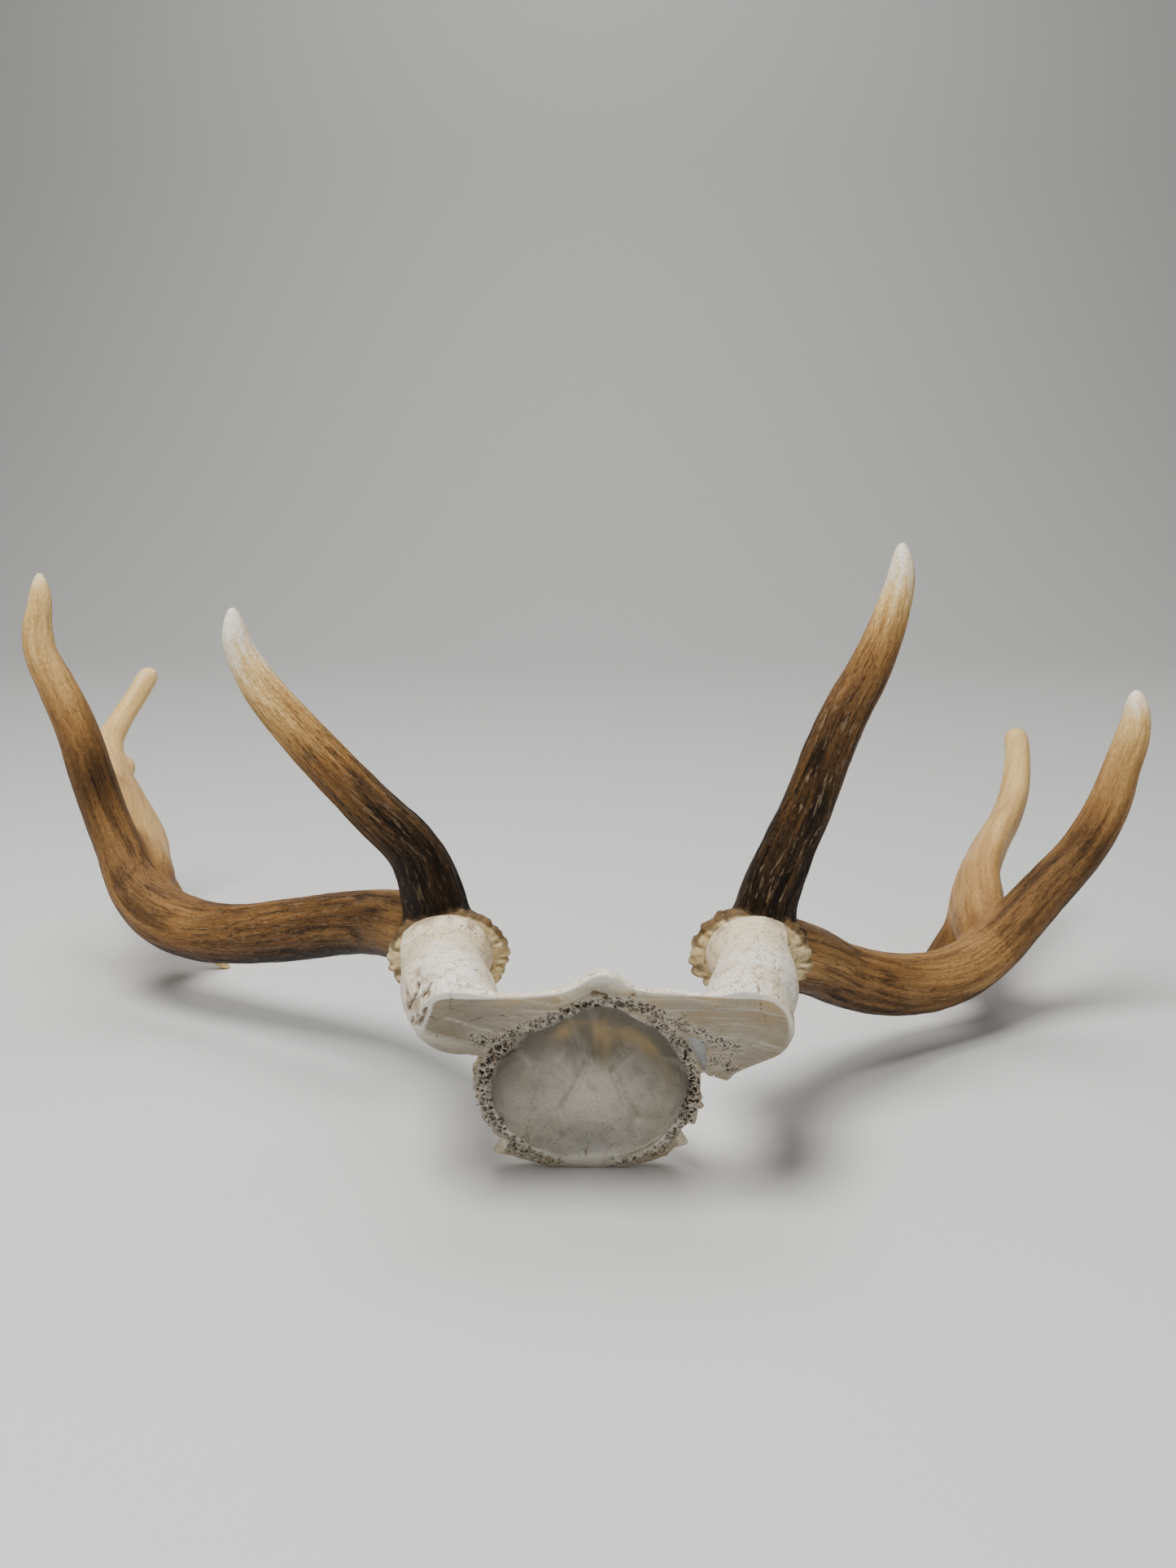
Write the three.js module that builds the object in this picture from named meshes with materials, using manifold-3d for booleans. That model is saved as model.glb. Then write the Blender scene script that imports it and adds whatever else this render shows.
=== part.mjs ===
// Fallow deer skull cap with both antlers, standing as it was set down: on the back
// of the skull and on the rear point of each palm, with the brow tines upright.
// Millimetres, +Z up. The sawn underside of the skull faces -Y, and left and right are
// as seen from there. The origin is the bottom centre of the whole piece.
import * as THREE from "three";
import { mergeVertices } from "three/addons/utils/BufferGeometryUtils.js";
import Module from "manifold-3d";

const wasm = await Module();
wasm.setup();

// Placing
const occiput = [13.5, -133, 0]; // where the back of the skull meets the surface, from the origin
const cutLean = THREE.MathUtils.degToRad(24); // the sawn face overhangs by this angle
const gap = 0.3; // kept between neighbouring pieces

// Skull, in its own frame: x across, y out through the roof, z forward from the occiput.
// The saw plane is y = 0.
const vault = { centre: [0, 0, 41.5], radii: [39.5, 33, 42] };
const brainHollow = { centre: [0.5, -2, 42.5], radii: [34, 30, 38] };
const hollowPeak = { centre: [4, -2, 62], radii: [22, 17, 21] };
const plateThick = 6;
const plateRound = 2.5;
const plateOutline = [
  [4.5, 92.8],
  [14, 91.8],
  [28, 89.5],
  [46, 88],
  [58, 87],
  [64.8, 81.5],
  [67, 74],
  [66.4, 66],
  [63, 60],
  [56, 55.5],
  [50, 48.5],
  [41, 51],
  [30, 60],
  [0, 66],
  [-28, 63],
  [-42, 66.6],
  [-53, 71],
  [-54, 76],
  [-50.5, 86],
  [-38, 87.5],
  [-22, 88],
  [-8, 90.5],
];
const crownRidge = { centre: [4.5, 4, 79], radii: [8.5, 9, 15] };
const orbitHollows = [
  { centre: [-50, -5, 78], radii: [15, 9, 9] },
  { centre: [55, -5, 73], radii: [17, 9, 12] },
];
const napeRidge = { centre: [1, 5, 7], radii: [31, 8, 8] };
const napeSpurs = [
  [
    [-23, 6, 12, 5.5],
    [-28, 4.8, 8.4, 4.2],
    [-34, 3.6, 4.8, 2],
  ],
  [
    [25, 6, 15, 5.5],
    [30, 4.8, 12.4, 4.2],
    [36.4, 3.6, 9.6, 2],
  ],
];

// Pedicles: stations [x, y, z, half width, half depth] in the skull frame
const pedicles = {
  left: [
    [-40.5, 0.5, 77.5, 11.5, 8],
    [-45.6, 9, 75, 16.2, 12.6],
    [-50, 24, 68.5, 16, 15.2],
    [-52, 40, 62.5, 14.6, 14],
    [-53.4, 51, 58.6, 13.8, 13],
  ],
  right: [
    [50, 0.5, 76, 14.5, 8.5],
    [53.6, 9, 74.5, 16, 12.8],
    [58, 24, 68, 15.8, 15.2],
    [60.5, 40, 62, 14.8, 14],
    [62, 51, 58.4, 14, 13],
  ],
};

// Burr: the knobbly collar at the foot of each antler. Profile of [height, half width] above its underside
const burrProfile = [
  [0, 17.4],
  [1.2, 21.4],
  [3.6, 23.4],
  [6.2, 22.6],
  [8.6, 19.2],
  [12, 14.8],
];
const burrOval = 0.81; // its depth over its width
const burrInset = [1.6, -2.6]; // how far it sits towards the middle and upwards of its pedicle
const burrSides = 36;
const burrPearls = [9, 14]; // waves around the collar whose sum makes the pearls
const pearlHeight = 0.035;

// Antler branches: stations [x, y, z, radius] from the occiput, tip last
const leftAntler = {
  beam: [
    [-67, 51, 73.5, 14.2],
    [-85, 73, 69.2, 13.6],
    [-102, 88, 64, 13.5],
    [-133, 108, 54, 14],
    [-158, 122, 47.5, 13.5],
    [-181, 134, 44.8, 14],
    [-203, 145, 48.8, 14.2],
    [-217.5, 153, 60, 12.8],
    [-224, 158, 69, 9],
  ],
  brow: [
    [-57, 35, 80, 12.5],
    [-58, 35, 90, 12.2],
    [-64.5, 35.5, 109, 10.3],
    [-82.5, 37, 128, 9.5],
    [-104, 38, 151.5, 8.5],
    [-120, 38.5, 171.5, 7.3],
    [-127.4, 37.6, 187, 5.3],
    [-128.6, 37.3, 200.3, 3.8],
  ],
  trez: [
    [-214, 151.5, 57, 5],
    [-221.5, 156.5, 66.5, 10],
    [-227.5, 161, 77, 11],
    [-234.5, 165, 93, 10.4],
    [-240.3, 167, 113, 10.3],
    [-246, 167.7, 135.5, 9.6],
    [-254, 168, 156.3, 8.7],
    [-260, 169, 170.2, 7.5],
    [-261.5, 170.3, 181.3, 6.8],
    [-260, 172.5, 195, 5.3],
    [-260, 175, 208, 4],
  ],
  palm: [
    [-209, 151.5, 56, 5, 5],
    [-212.5, 162, 61.5, 11, 9.5],
    [-225, 182, 70, 16, 9],
    [-238.5, 207, 80, 19.5, 8.3],
    [-255, 234, 91, 15, 7.6],
    [-269, 260, 102, 10, 6.8],
    [-272.7, 280, 115, 7.2, 6.6],
    [-268, 293, 131, 6.4, 6.4],
    [-256.5, 302.2, 146.5, 6, 5.8],
  ],
  palmUp: [-0.5, -0.15, 0.85],
  rearPoint: [
    [-224.5, 181, 64, 10],
    [-217, 191, 42, 8.5],
    [-208, 199, 20, 6.5],
    [-190.5, 202, -1.5, 3.4],
  ],
  knob: [
    [-264, 250, 93, 7.5],
    [-262.5, 258, 96, 6.5],
    [-260.5, 266, 100, 5],
  ],
};
const rightAntler = {
  beam: [
    [77.5, 46.5, 65.5, 14.3],
    [92, 62.5, 56, 14],
    [105.3, 73.5, 46.5, 13.6],
    [123.6, 86.6, 37.3, 13.7],
    [139, 97, 32.4, 13.4],
    [156, 105.8, 30.8, 13.1],
    [172, 114.3, 33.6, 12.7],
    [187, 122, 41.2, 12],
    [193, 125, 47, 9],
  ],
  brow: [
    [66.5, 34, 80, 12.2],
    [67.5, 34, 90, 11.7],
    [74.7, 35.6, 110, 10.3],
    [81.7, 37, 126.3, 9.7],
    [89.4, 38.5, 148, 9.2],
    [95.6, 39.6, 162.8, 8.7],
    [102, 40.2, 175.1, 8.1],
    [107.4, 40.2, 188.5, 7.1],
    [110.7, 40.2, 199.4, 6.2],
    [113.2, 40.5, 210.2, 5.1],
    [113.2, 41, 223.2, 3.8],
  ],
  trez: [
    [184, 120.5, 39.5, 5],
    [191, 124, 45.5, 10],
    [199, 126.6, 52.6, 11.6],
    [213, 129.8, 67.6, 10.8],
    [225, 130.8, 81.7, 10.1],
    [232.7, 130.7, 95.3, 9.7],
    [237.6, 130.4, 108.3, 9.1],
    [241, 130.4, 122.3, 8.1],
    [244.8, 131, 136, 7.4],
    [246.2, 131.6, 147, 5.8],
    [245.5, 132.5, 157.2, 4.6],
  ],
  palm: [
    [181, 119.5, 38.5, 5, 5],
    [182.5, 130, 44.5, 12, 10],
    [186, 146, 50, 15.5, 10.2],
    [191, 166, 57, 17.5, 9.4],
    [204, 190, 67, 16.5, 8.6],
    [220.5, 214, 78.5, 13, 7.8],
    [231.5, 233, 90.5, 9, 7.2],
    [236.7, 246, 106, 6.6, 6.6],
    [237, 252, 118, 6, 5.6],
  ],
  palmUp: [0.35, -0.2, 0.9],
  rearPoint: [
    [193, 160, 52, 9.5],
    [184, 158, 38, 8.5],
    [170, 153.5, 20, 6.8],
    [154, 147, -1.5, 3.6],
  ],
};
const branchSides = 12;
const stepsPerSpan = 2; // rings from one station to the next
const noseSteps = 2; // extra rings that round off a tip
const flutes = 5; // long ridges down each branch
const fluteHeight = 0.03;

const bone = new THREE.MeshStandardMaterial({ color: 0xe3dccb, roughness: 0.75, metalness: 0 });
const antlerBrown = new THREE.MeshStandardMaterial({ color: 0x7a5230, roughness: 0.6, metalness: 0 });
const antlerTan = new THREE.MeshStandardMaterial({ color: 0xb08456, roughness: 0.6, metalness: 0 });

// A closed geometry as a solid that can be joined and cut
function solid(geometry) {
  const bare = geometry.clone();
  bare.deleteAttribute("normal");
  bare.deleteAttribute("uv");
  const merged = mergeVertices(bare, 1e-4);
  return new wasm.Manifold(
    new wasm.Mesh({
      numProp: 3,
      vertProperties: new Float32Array(merged.attributes.position.array),
      triVerts: new Uint32Array(merged.index.array),
    }),
  );
}

function piece(name, body, material) {
  const mesh = body.getMesh();
  const geometry = new THREE.BufferGeometry();
  geometry.setAttribute("position", new THREE.BufferAttribute(mesh.vertProperties, 3));
  geometry.setIndex(new THREE.BufferAttribute(mesh.triVerts, 1));
  geometry.computeVertexNormals();
  const made = new THREE.Mesh(geometry, material);
  made.name = name;
  return made;
}

function egg({ centre, radii }, across = 40, down = 24) {
  const ball = new THREE.SphereGeometry(1, across, down);
  ball.scale(...radii);
  ball.translate(...centre);
  return solid(ball);
}

// Closes rows of equal length into one skin, with a point at each end
function skin(rows, first, last) {
  const sides = rows[0].length;
  const points = [first, ...rows.flat(), last];
  const index = [];
  const at = (row, side) => 1 + row * sides + (side % sides);
  for (let side = 0; side < sides; side++) {
    index.push(0, at(0, side + 1), at(0, side));
    index.push(points.length - 1, at(rows.length - 1, side), at(rows.length - 1, side + 1));
    for (let row = 0; row + 1 < rows.length; row++) {
      index.push(at(row, side), at(row, side + 1), at(row + 1, side));
      index.push(at(row + 1, side), at(row, side + 1), at(row + 1, side + 1));
    }
  }
  const geometry = new THREE.BufferGeometry().setFromPoints(points);
  geometry.setIndex(index);
  return solid(geometry);
}

// One ring of a branch, its breadth kept as near to `upright` as the branch allows
function ring(centre, along, upright, breadth, thickness, sides, shape) {
  const side = new THREE.Vector3().crossVectors(along, upright).normalize();
  const up = new THREE.Vector3().crossVectors(side, along);
  return Array.from({ length: sides }, (_, i) => {
    const angle = (i / sides) * 2 * Math.PI;
    const reach = shape(angle);
    return centre
      .clone()
      .addScaledVector(up, reach * breadth * Math.cos(angle))
      .addScaledVector(side, reach * thickness * Math.sin(angle));
  });
}

// A branch through its stations, flat where it starts and rounded off at its tip
function branch(stations, upright = [0, 1, 0], grow = 0) {
  const spans = stations.length - 1;
  const path = new THREE.CatmullRomCurve3(stations.map((s) => new THREE.Vector3(s[0], s[1], s[2])));
  const girth = new THREE.CatmullRomCurve3(stations.map((s) => new THREE.Vector3(s[3], s[4] ?? s[3], 0)));
  const up = new THREE.Vector3(...upright);
  const places = Array.from({ length: (spans - 1) * stepsPerSpan }, (_, i) => i / stepsPerSpan);
  for (let i = 0; i < noseSteps; i++) places.push(spans - 1 + Math.sin((i / noseSteps) * (Math.PI / 2)));
  const rows = places.map((place) => {
    const size = girth.getPoint(place / spans);
    const nose = Math.sqrt(1 - Math.max(0, place - spans + 1) ** 2);
    const ridged = (angle) => 1 + fluteHeight * Math.cos(flutes * angle + 0.4 * place);
    const along = path.getTangent(place / spans);
    const centre = path.getPoint(place / spans);
    return ring(centre, along, up, size.x * nose + grow, size.y * nose + grow, branchSides, ridged);
  });
  const tip = path.getPoint(1).addScaledVector(path.getTangent(1), grow);
  return skin(rows, path.getPoint(0), tip);
}

// The saw takes everything below the cut, and the floor everything below the resting points
function slabBelow(height, lean) {
  const slab = new THREE.BoxGeometry(900, 900, 400);
  slab.translate(0, 0, -200 + height);
  slab.rotateX(lean);
  return solid(slab);
}

const upright = new THREE.Vector3(0, 0, 1);
const toRow = new THREE.Matrix4().makeRotationX(cutLean);

function skullCap() {
  const outline = plateOutline.map(([x, z]) => new THREE.Vector2(x, -z));
  const plate = new THREE.ExtrudeGeometry(new THREE.Shape(new THREE.SplineCurve([...outline, outline[0]]).getPoints(60)), {
    depth: plateThick - plateRound,
    bevelThickness: plateRound,
    bevelSize: plateRound,
    bevelOffset: -plateRound,
    bevelSegments: 2,
  });
  plate.rotateX(-Math.PI / 2);
  let cap = egg(vault, 36, 20).add(solid(plate)).add(egg(crownRidge, 14, 10)).add(egg(napeRidge, 20, 10));
  for (const spur of napeSpurs) cap = cap.add(branch(spur));
  for (const stations of Object.values(pedicles)) cap = cap.add(pedicle(stations));
  cap = cap.subtract(egg(brainHollow, 36, 20)).subtract(egg(hollowPeak, 20, 12));
  for (const hollow of orbitHollows) cap = cap.subtract(egg(hollow, 18, 12));
  return cap.subtract(slabBelow(0, -Math.PI / 2)).subtract(slabBelow(0, -cutLean));
}

// A pedicle flares out of the roof and ends square, where the burr sits
function pedicleEnd(stations) {
  const path = new THREE.CatmullRomCurve3(stations.map(([x, y, z]) => new THREE.Vector3(x, y, z)));
  return { top: path.getPoint(1), along: path.getTangent(1) };
}

function pedicle(stations) {
  const path = new THREE.CatmullRomCurve3(stations.map(([x, y, z]) => new THREE.Vector3(x, y, z)));
  const girth = new THREE.CatmullRomCurve3(stations.map((s) => new THREE.Vector3(s[3], s[4], 0)));
  const steps = 8;
  const rows = Array.from({ length: steps + 1 }, (_, i) => {
    const size = girth.getPoint(i / steps);
    return ring(path.getPoint(i / steps), path.getTangent(i / steps), upright, size.y, size.x, 24, () => 1);
  });
  return skin(rows, path.getPoint(0), path.getPoint(1));
}

// The burr's own axis carries on from the pedicle
function burrSeat(stations) {
  const { top, along } = pedicleEnd(stations);
  along.transformDirection(toRow);
  const base = top.applyMatrix4(toRow).addScaledVector(along, gap);
  const inset = new THREE.Vector3(-Math.sign(base.x) * burrInset[0], 0, burrInset[1]).projectOnPlane(along);
  return { base: base.add(inset), along };
}

function burr({ base, along }, grow) {
  const rows = burrProfile.map(([height, half], level) => {
    const rough = pearlHeight * Math.sin((level / (burrProfile.length - 1)) * Math.PI);
    const pearls = (angle) => 1 + rough * burrPearls.reduce((sum, n, i) => sum + Math.cos(n * angle + i), 0);
    const centre = base.clone().addScaledVector(along, height + (level ? grow : -grow));
    return ring(centre, along, upright, half * burrOval + grow, half + grow, burrSides, pearls);
  });
  const height = burrProfile.at(-1)[0] + grow;
  return skin(rows, base.clone().addScaledVector(along, -grow), base.clone().addScaledVector(along, height));
}

// The beam runs from inside the burr to the fork
function beamWithBurr(antler, seat, grow = 0) {
  const start = (height, radius) => [...seat.base.clone().addScaledVector(seat.along, height).toArray(), radius];
  const stations = [start(2, 14.5), start(12, 14.6), ...antler.beam];
  return branch(stations, [0, 0, 1], grow).add(burr(seat, grow));
}

function antlerPieces(side, antler) {
  const seat = burrSeat(pedicles[side]);
  const floor = slabBelow(0, 0);
  const beam = beamWithBurr(antler, seat);
  const beamRoom = beamWithBurr(antler, seat, gap);
  const trezRoom = branch(antler.trez, [0, 1, 0], gap);
  let palm = branch(antler.palm, antler.palmUp).add(branch(antler.rearPoint));
  if (antler.knob) palm = palm.add(branch(antler.knob, [0, 0, 1]));
  return [
    piece(`${side}_beam`, beam, antlerBrown),
    piece(`${side}_brow_tine`, branch(antler.brow).subtract(beamRoom), antlerBrown),
    piece(`${side}_trez_tine`, branch(antler.trez).subtract(beamRoom), antlerBrown),
    piece(`${side}_palm`, palm.subtract(beamRoom).subtract(trezRoom).subtract(floor), antlerTan),
  ];
}

const skull = piece("skull_cap", skullCap(), bone);
skull.rotation.x = cutLean;

const mountedSkull = new THREE.Group();
mountedSkull.position.set(...occiput);
mountedSkull.add(skull, ...antlerPieces("left", leftAntler), ...antlerPieces("right", rightAntler));

export default mountedSkull;
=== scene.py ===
import math

import bpy
import numpy as np
import openvdb
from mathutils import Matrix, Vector


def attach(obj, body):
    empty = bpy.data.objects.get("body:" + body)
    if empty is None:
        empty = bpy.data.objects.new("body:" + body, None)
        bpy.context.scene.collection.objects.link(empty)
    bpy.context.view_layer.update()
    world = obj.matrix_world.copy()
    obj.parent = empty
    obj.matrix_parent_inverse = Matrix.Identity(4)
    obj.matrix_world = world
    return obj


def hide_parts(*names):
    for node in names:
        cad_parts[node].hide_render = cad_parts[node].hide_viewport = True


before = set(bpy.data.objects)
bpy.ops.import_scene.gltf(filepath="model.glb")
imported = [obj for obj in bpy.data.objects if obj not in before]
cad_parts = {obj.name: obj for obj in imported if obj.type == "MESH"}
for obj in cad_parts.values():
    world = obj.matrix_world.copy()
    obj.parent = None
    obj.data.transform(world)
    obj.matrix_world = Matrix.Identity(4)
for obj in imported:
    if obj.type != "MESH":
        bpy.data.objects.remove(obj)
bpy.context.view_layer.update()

# Lengths below are millimetres. Antler stations are taken from the occiput.
# The skull has its own frame: x across, y out through the roof, z forward, the saw plane at y = 0.
occiput = np.array([13.5, -133.0, 0.0])
cutLean = math.radians(24)
lean = np.array(
    [
        [1, 0, 0],
        [0, math.cos(cutLean), -math.sin(cutLean)],
        [0, math.sin(cutLean), math.cos(cutLean)],
    ]
)

# The photograph's view: camera from the occiput, pitch in degrees, focal length and frame in pixels
view = {
    "place": (0.0, -391.5, 226.6),
    "pitch": 12.0,
    "focal": 1446,
    "frame": (1445, 1927),
}


# Noise, curves and distance fields shared by the pieces


def lattice(ix, iy, iz, seed):
    mixed = (ix * 374761393 + iy * 668265263 + iz * 1442695041 + seed * 362437) & 0xFFFFFFFF
    mixed = ((mixed ^ (mixed >> 13)) * 1274126177) & 0xFFFFFFFF
    return ((mixed ^ (mixed >> 16)) & 0xFFFF) / 32767.5 - 1.0


# Smooth lattice noise from -1 to 1; stretch divides all three axes or each by its own
def noise(points, stretch, seed):
    scaled = points / np.asarray(stretch, float)
    base = np.floor(scaled).astype(np.int64)
    part = scaled - base
    part = part * part * (3 - 2 * part)
    total = np.zeros(len(points))
    for corner in range(8):
        step = np.array([corner & 1, corner >> 1 & 1, corner >> 2])
        weight = np.prod(np.where(step, part, 1 - part), axis=1)
        cell = base + step
        total += weight * lattice(cell[:, 0], cell[:, 1], cell[:, 2], seed)
    return total


def unit(vectors):
    return vectors / np.maximum(np.linalg.norm(vectors, axis=-1, keepdims=True), 1e-9)


def ramp(value, low, high):
    part = np.clip((value - low) / (high - low), 0, 1)
    return part * part * (3 - 2 * part)


def bell(value):
    return np.exp(-(value**2))


def blob(points, centre, spread):
    return np.exp(-(((points - centre) / spread) ** 2).sum(1))


def dot(x, y, z, vector):
    return x * vector[0] + y * vector[1] + z * vector[2]


# Length so far at each point of a path
def runOf(path):
    return np.r_[0, np.cumsum(np.linalg.norm(np.diff(path, axis=0), axis=1))]


def smoothMin(a, b, reach):
    part = np.clip(0.5 + 0.5 * (b - a) / reach, 0, 1)
    return b + (a - b) * part - reach * part * (1 - part)


def smoothMax(a, b, reach):
    return -smoothMin(-a, -b, reach)


# A curve through stations, extra columns carried along
def curve(stations, places):
    stations = np.asarray(stations, float)
    ends = np.vstack([2 * stations[0] - stations[1], stations, 2 * stations[-1] - stations[-2]])
    span = np.minimum(places.astype(int), len(stations) - 2)
    part = (places - span)[:, None]
    p0, p1, p2, p3 = (ends[span + k] for k in range(4))
    gaps = ((b - a)[:, :3] for a, b in ((p0, p1), (p1, p2), (p2, p3)))
    g0, g1, g2 = (np.sqrt(np.linalg.norm(gap, axis=1) + 1e-6)[:, None] for gap in gaps)
    t1 = ((p1 - p0) / g0 - (p2 - p0) / (g0 + g1) + (p2 - p1) / g1) * g1
    t2 = ((p2 - p1) / g1 - (p3 - p1) / (g1 + g2) + (p3 - p2) / g2) * g1
    second = 3 * p2 - 3 * p1 - 2 * t1 - t2
    third = 2 * p1 - 2 * p2 + t1 + t2
    return p1 + part * t1 + part**2 * second + part**3 * third


# Even samples along a branch, with its girth and a frame at each
def branch(stations, upright, rounded=True, spacing=1.2):
    rows = np.array([s if len(s) == 5 else (*s, s[3]) for s in stations], float)
    spans = len(rows) - 1
    places = np.linspace(0, spans, 40 * spans + 1)
    fine = curve(rows, places)
    if rounded:
        fine[:, 3:] *= np.sqrt(np.clip(1 - np.maximum(places - spans + 1, 0) ** 2, 0, 1))[:, None]
    run = runOf(fine[:, :3])
    at = np.linspace(0, run[-1], max(int(run[-1] / spacing), 8))
    even = np.stack([np.interp(at, run, fine[:, k]) for k in range(5)], axis=1)
    along = unit(np.gradient(even[:, :3], axis=0))
    side = unit(np.cross(along, np.asarray(upright, float)))
    up = np.cross(side, along)
    frames = {"along": along, "side": side, "up": up}
    return {"centre": even[:, :3], "girth": even[:, 3:], "at": at, **frames}


# Distance fields on a regular grid
class Field:
    def __init__(self, low, high, pitch, far=9.0):
        self.low = np.asarray(low, float)
        self.pitch = pitch
        self.shape = np.ceil((np.asarray(high, float) - self.low) / pitch).astype(int) + 1
        self.values = np.full(self.shape, far, np.float32)

    def window(self, low, high):
        first = np.floor((np.asarray(low) - self.low) / self.pitch).astype(int)
        last = np.ceil((np.asarray(high) - self.low) / self.pitch).astype(int) + 1
        first, last = (np.clip(end, 0, self.shape) for end in (first, last))
        steps = [np.arange(a, b) for a, b in zip(first, last)]
        x, y, z = ((low + self.pitch * step).astype(np.float32) for low, step in zip(self.low, steps))
        box = tuple(slice(a, b) for a, b in zip(first, last))
        return box, x[:, None, None], y[None, :, None], z

    def whole(self):
        return self.window(self.low, self.low + (self.shape - 1) * self.pitch)

    def skin(self):
        grid = openvdb.FloatGrid(3.0)
        grid.copyFromArray(np.clip(self.values, -3, 3))
        points, _, quads = grid.convertToPolygons(isovalue=0.0, adaptivity=0.0)
        return mainShell(self.low + points * self.pitch, quads)


# Keeps the largest connected shell, without loose crumbs or closed bubbles
def mainShell(points, quads):
    label = np.arange(len(points))
    while True:
        corners = label[quads]
        least = corners.min(1)
        if (least == corners.max(1)).all():
            break
        np.minimum.at(label, corners.ravel(), np.repeat(least, 4))
        while (label[label] != label).any():
            label = label[label]
    kept = label == np.bincount(label).argmax()
    place = np.cumsum(kept) - 1
    return points[kept], place[quads[kept[quads[:, 0]]]]


def eggDistance(x, y, z, centre, radii):
    qx = (x - centre[0]) / radii[0]
    qy = (y - centre[1]) / radii[1]
    qz = (z - centre[2]) / radii[2]
    near = np.sqrt(qx * qx + qy * qy + qz * qz)
    steep = np.sqrt((qx / radii[0]) ** 2 + (qy / radii[1]) ** 2 + (qz / radii[2]) ** 2)
    return near * (near - 1) / np.maximum(steep, 1e-6)


# Sweeps a branch into a field of its own, then blends that into the whole
def addBranch(field, made, blend, reach=8.0):
    widest = made["girth"].max() + reach
    own = Field(made["centre"].min(0) - widest, made["centre"].max(0) + widest, field.pitch)
    own.low = field.low + np.round((own.low - field.low) / field.pitch) * field.pitch
    columns = (made[key] for key in ("centre", "girth", "along", "side", "up"))
    for centre, girth, along, side, up in zip(*columns):
        if girth.min() < 0.4:
            continue
        box, x, y, z = own.window(centre - girth.max() - reach, centre + girth.max() + reach)
        x, y, z = x - np.float32(centre[0]), y - np.float32(centre[1]), z - np.float32(centre[2])
        if abs(girth[0] - girth[1]) < 0.05:
            distance = np.sqrt(x * x + y * y + z * z) - np.float32(girth[0])
        else:
            along, side, up = (v.astype(np.float32) for v in (along, side, up))
            u, s, a = (dot(x, y, z, v) for v in (up, side, along))
            distance = eggDistance(u, s, a, (0, 0, 0), (girth[0], girth[1], girth.min()))
        np.minimum(own.values[box], distance, out=own.values[box])
    joinFields(field, own, blend)


def joinFields(field, own, blend):
    first = np.round((own.low - field.low) / field.pitch).astype(int)
    last = first + own.shape
    a = np.maximum(first, 0)
    b = np.minimum(last, field.shape)
    here = tuple(slice(p, q) for p, q in zip(a, b))
    there = tuple(slice(p - f, q - f) for p, q, f in zip(a, b, first))
    field.values[here] = smoothMin(field.values[here], own.values[there], blend)


# Signed distance to a closed outline, negative inside
def outlineDistance(px, py, corners):
    corners = np.asarray(corners, float)
    best = np.full(np.broadcast(px, py).shape, 1e9)
    inside = np.zeros(best.shape, bool)
    for (ax, ay), (bx, by) in zip(corners, np.roll(corners, -1, axis=0)):
        ex, ey = bx - ax, by - ay
        part = np.clip(((px - ax) * ex + (py - ay) * ey) / max(ex * ex + ey * ey, 1e-9), 0, 1)
        best = np.minimum(best, (px - ax - part * ex) ** 2 + (py - ay - part * ey) ** 2)
        if ey != 0:
            crossing = (ay > py) != (by > py)
            inside ^= crossing & (px < ax + (py - ay) / ey * ex)
    return np.where(inside, -1, 1) * np.sqrt(best)


def pathDistance(points, path):
    best = np.full(len(points), 1e9)
    path = np.asarray(path, float)
    for a, b in zip(path[:-1], path[1:]):
        edge = b - a
        part = np.clip((points - a) @ edge / max(edge @ edge, 1e-9), 0, 1)
        best = np.minimum(best, np.linalg.norm(points - a - part[:, None] * edge, axis=1))
    return best


# Where points, in millimetres from the occiput, fall in the photograph, and how far off they are
def toPixels(points):
    pitch = math.radians(view["pitch"])
    ray = points - np.array(view["place"])
    depth = ray @ (0, math.cos(pitch), -math.sin(pitch))
    down = ray @ (0, -math.sin(pitch), -math.cos(pitch))
    across = view["frame"][0] / 2 + view["focal"] * ray[:, 0] / depth
    return np.stack([across, view["frame"][1] / 2 + view["focal"] * down / depth], axis=1), depth


# Lays a path of photograph pixels on the nearest skin behind it
def layOn(path, points, pixels, depth, step=4.0, catch=1.6):
    path = np.array(path, float)
    run = runOf(path)
    at = np.linspace(0, run[-1], int(run[-1] / step) + 2)
    laid = []
    for spot in np.stack([np.interp(at, run, path[:, k]) for k in range(2)], axis=1):
        near = np.flatnonzero(((pixels - spot) ** 2).sum(1) < catch**2)
        if len(near):
            laid.append(points[near[depth[near].argmin()]])
    return np.array(laid)


def normals(points, quads):
    across = points[quads[:, 2]] - points[quads[:, 0]]
    down = points[quads[:, 3]] - points[quads[:, 1]]
    faces = np.cross(across, down)
    total = np.stack(
        [
            sum(np.bincount(quads[:, c], weights=faces[:, k], minlength=len(points)) for c in range(4))
            for k in range(3)
        ],
        axis=1,
    )
    return unit(total)


# Collapses a dense skin to the most triangles a piece may have; flat stretches go first
def thinOut(piece, most=192000):
    count = sum(len(face.vertices) - 2 for face in piece.data.polygons)
    thin = piece.modifiers.new("thin", "DECIMATE")
    thin.ratio = min(1, most / count)
    slim = bpy.data.meshes.new_from_object(piece.evaluated_get(bpy.context.evaluated_depsgraph_get()))
    piece.modifiers.clear()
    dense = piece.data
    piece.data = slim
    bpy.data.meshes.remove(dense)
    slim.name = piece.name
    places = np.empty(len(slim.vertices) * 3, np.float32)
    slim.vertices.foreach_get("co", places)
    places[2::3] = np.maximum(places[2::3], 0)
    slim.vertices.foreach_set("co", places)


def addObject(name, data):
    made = bpy.data.objects.new(name, data)
    bpy.context.scene.collection.objects.link(made)
    return made


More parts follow.
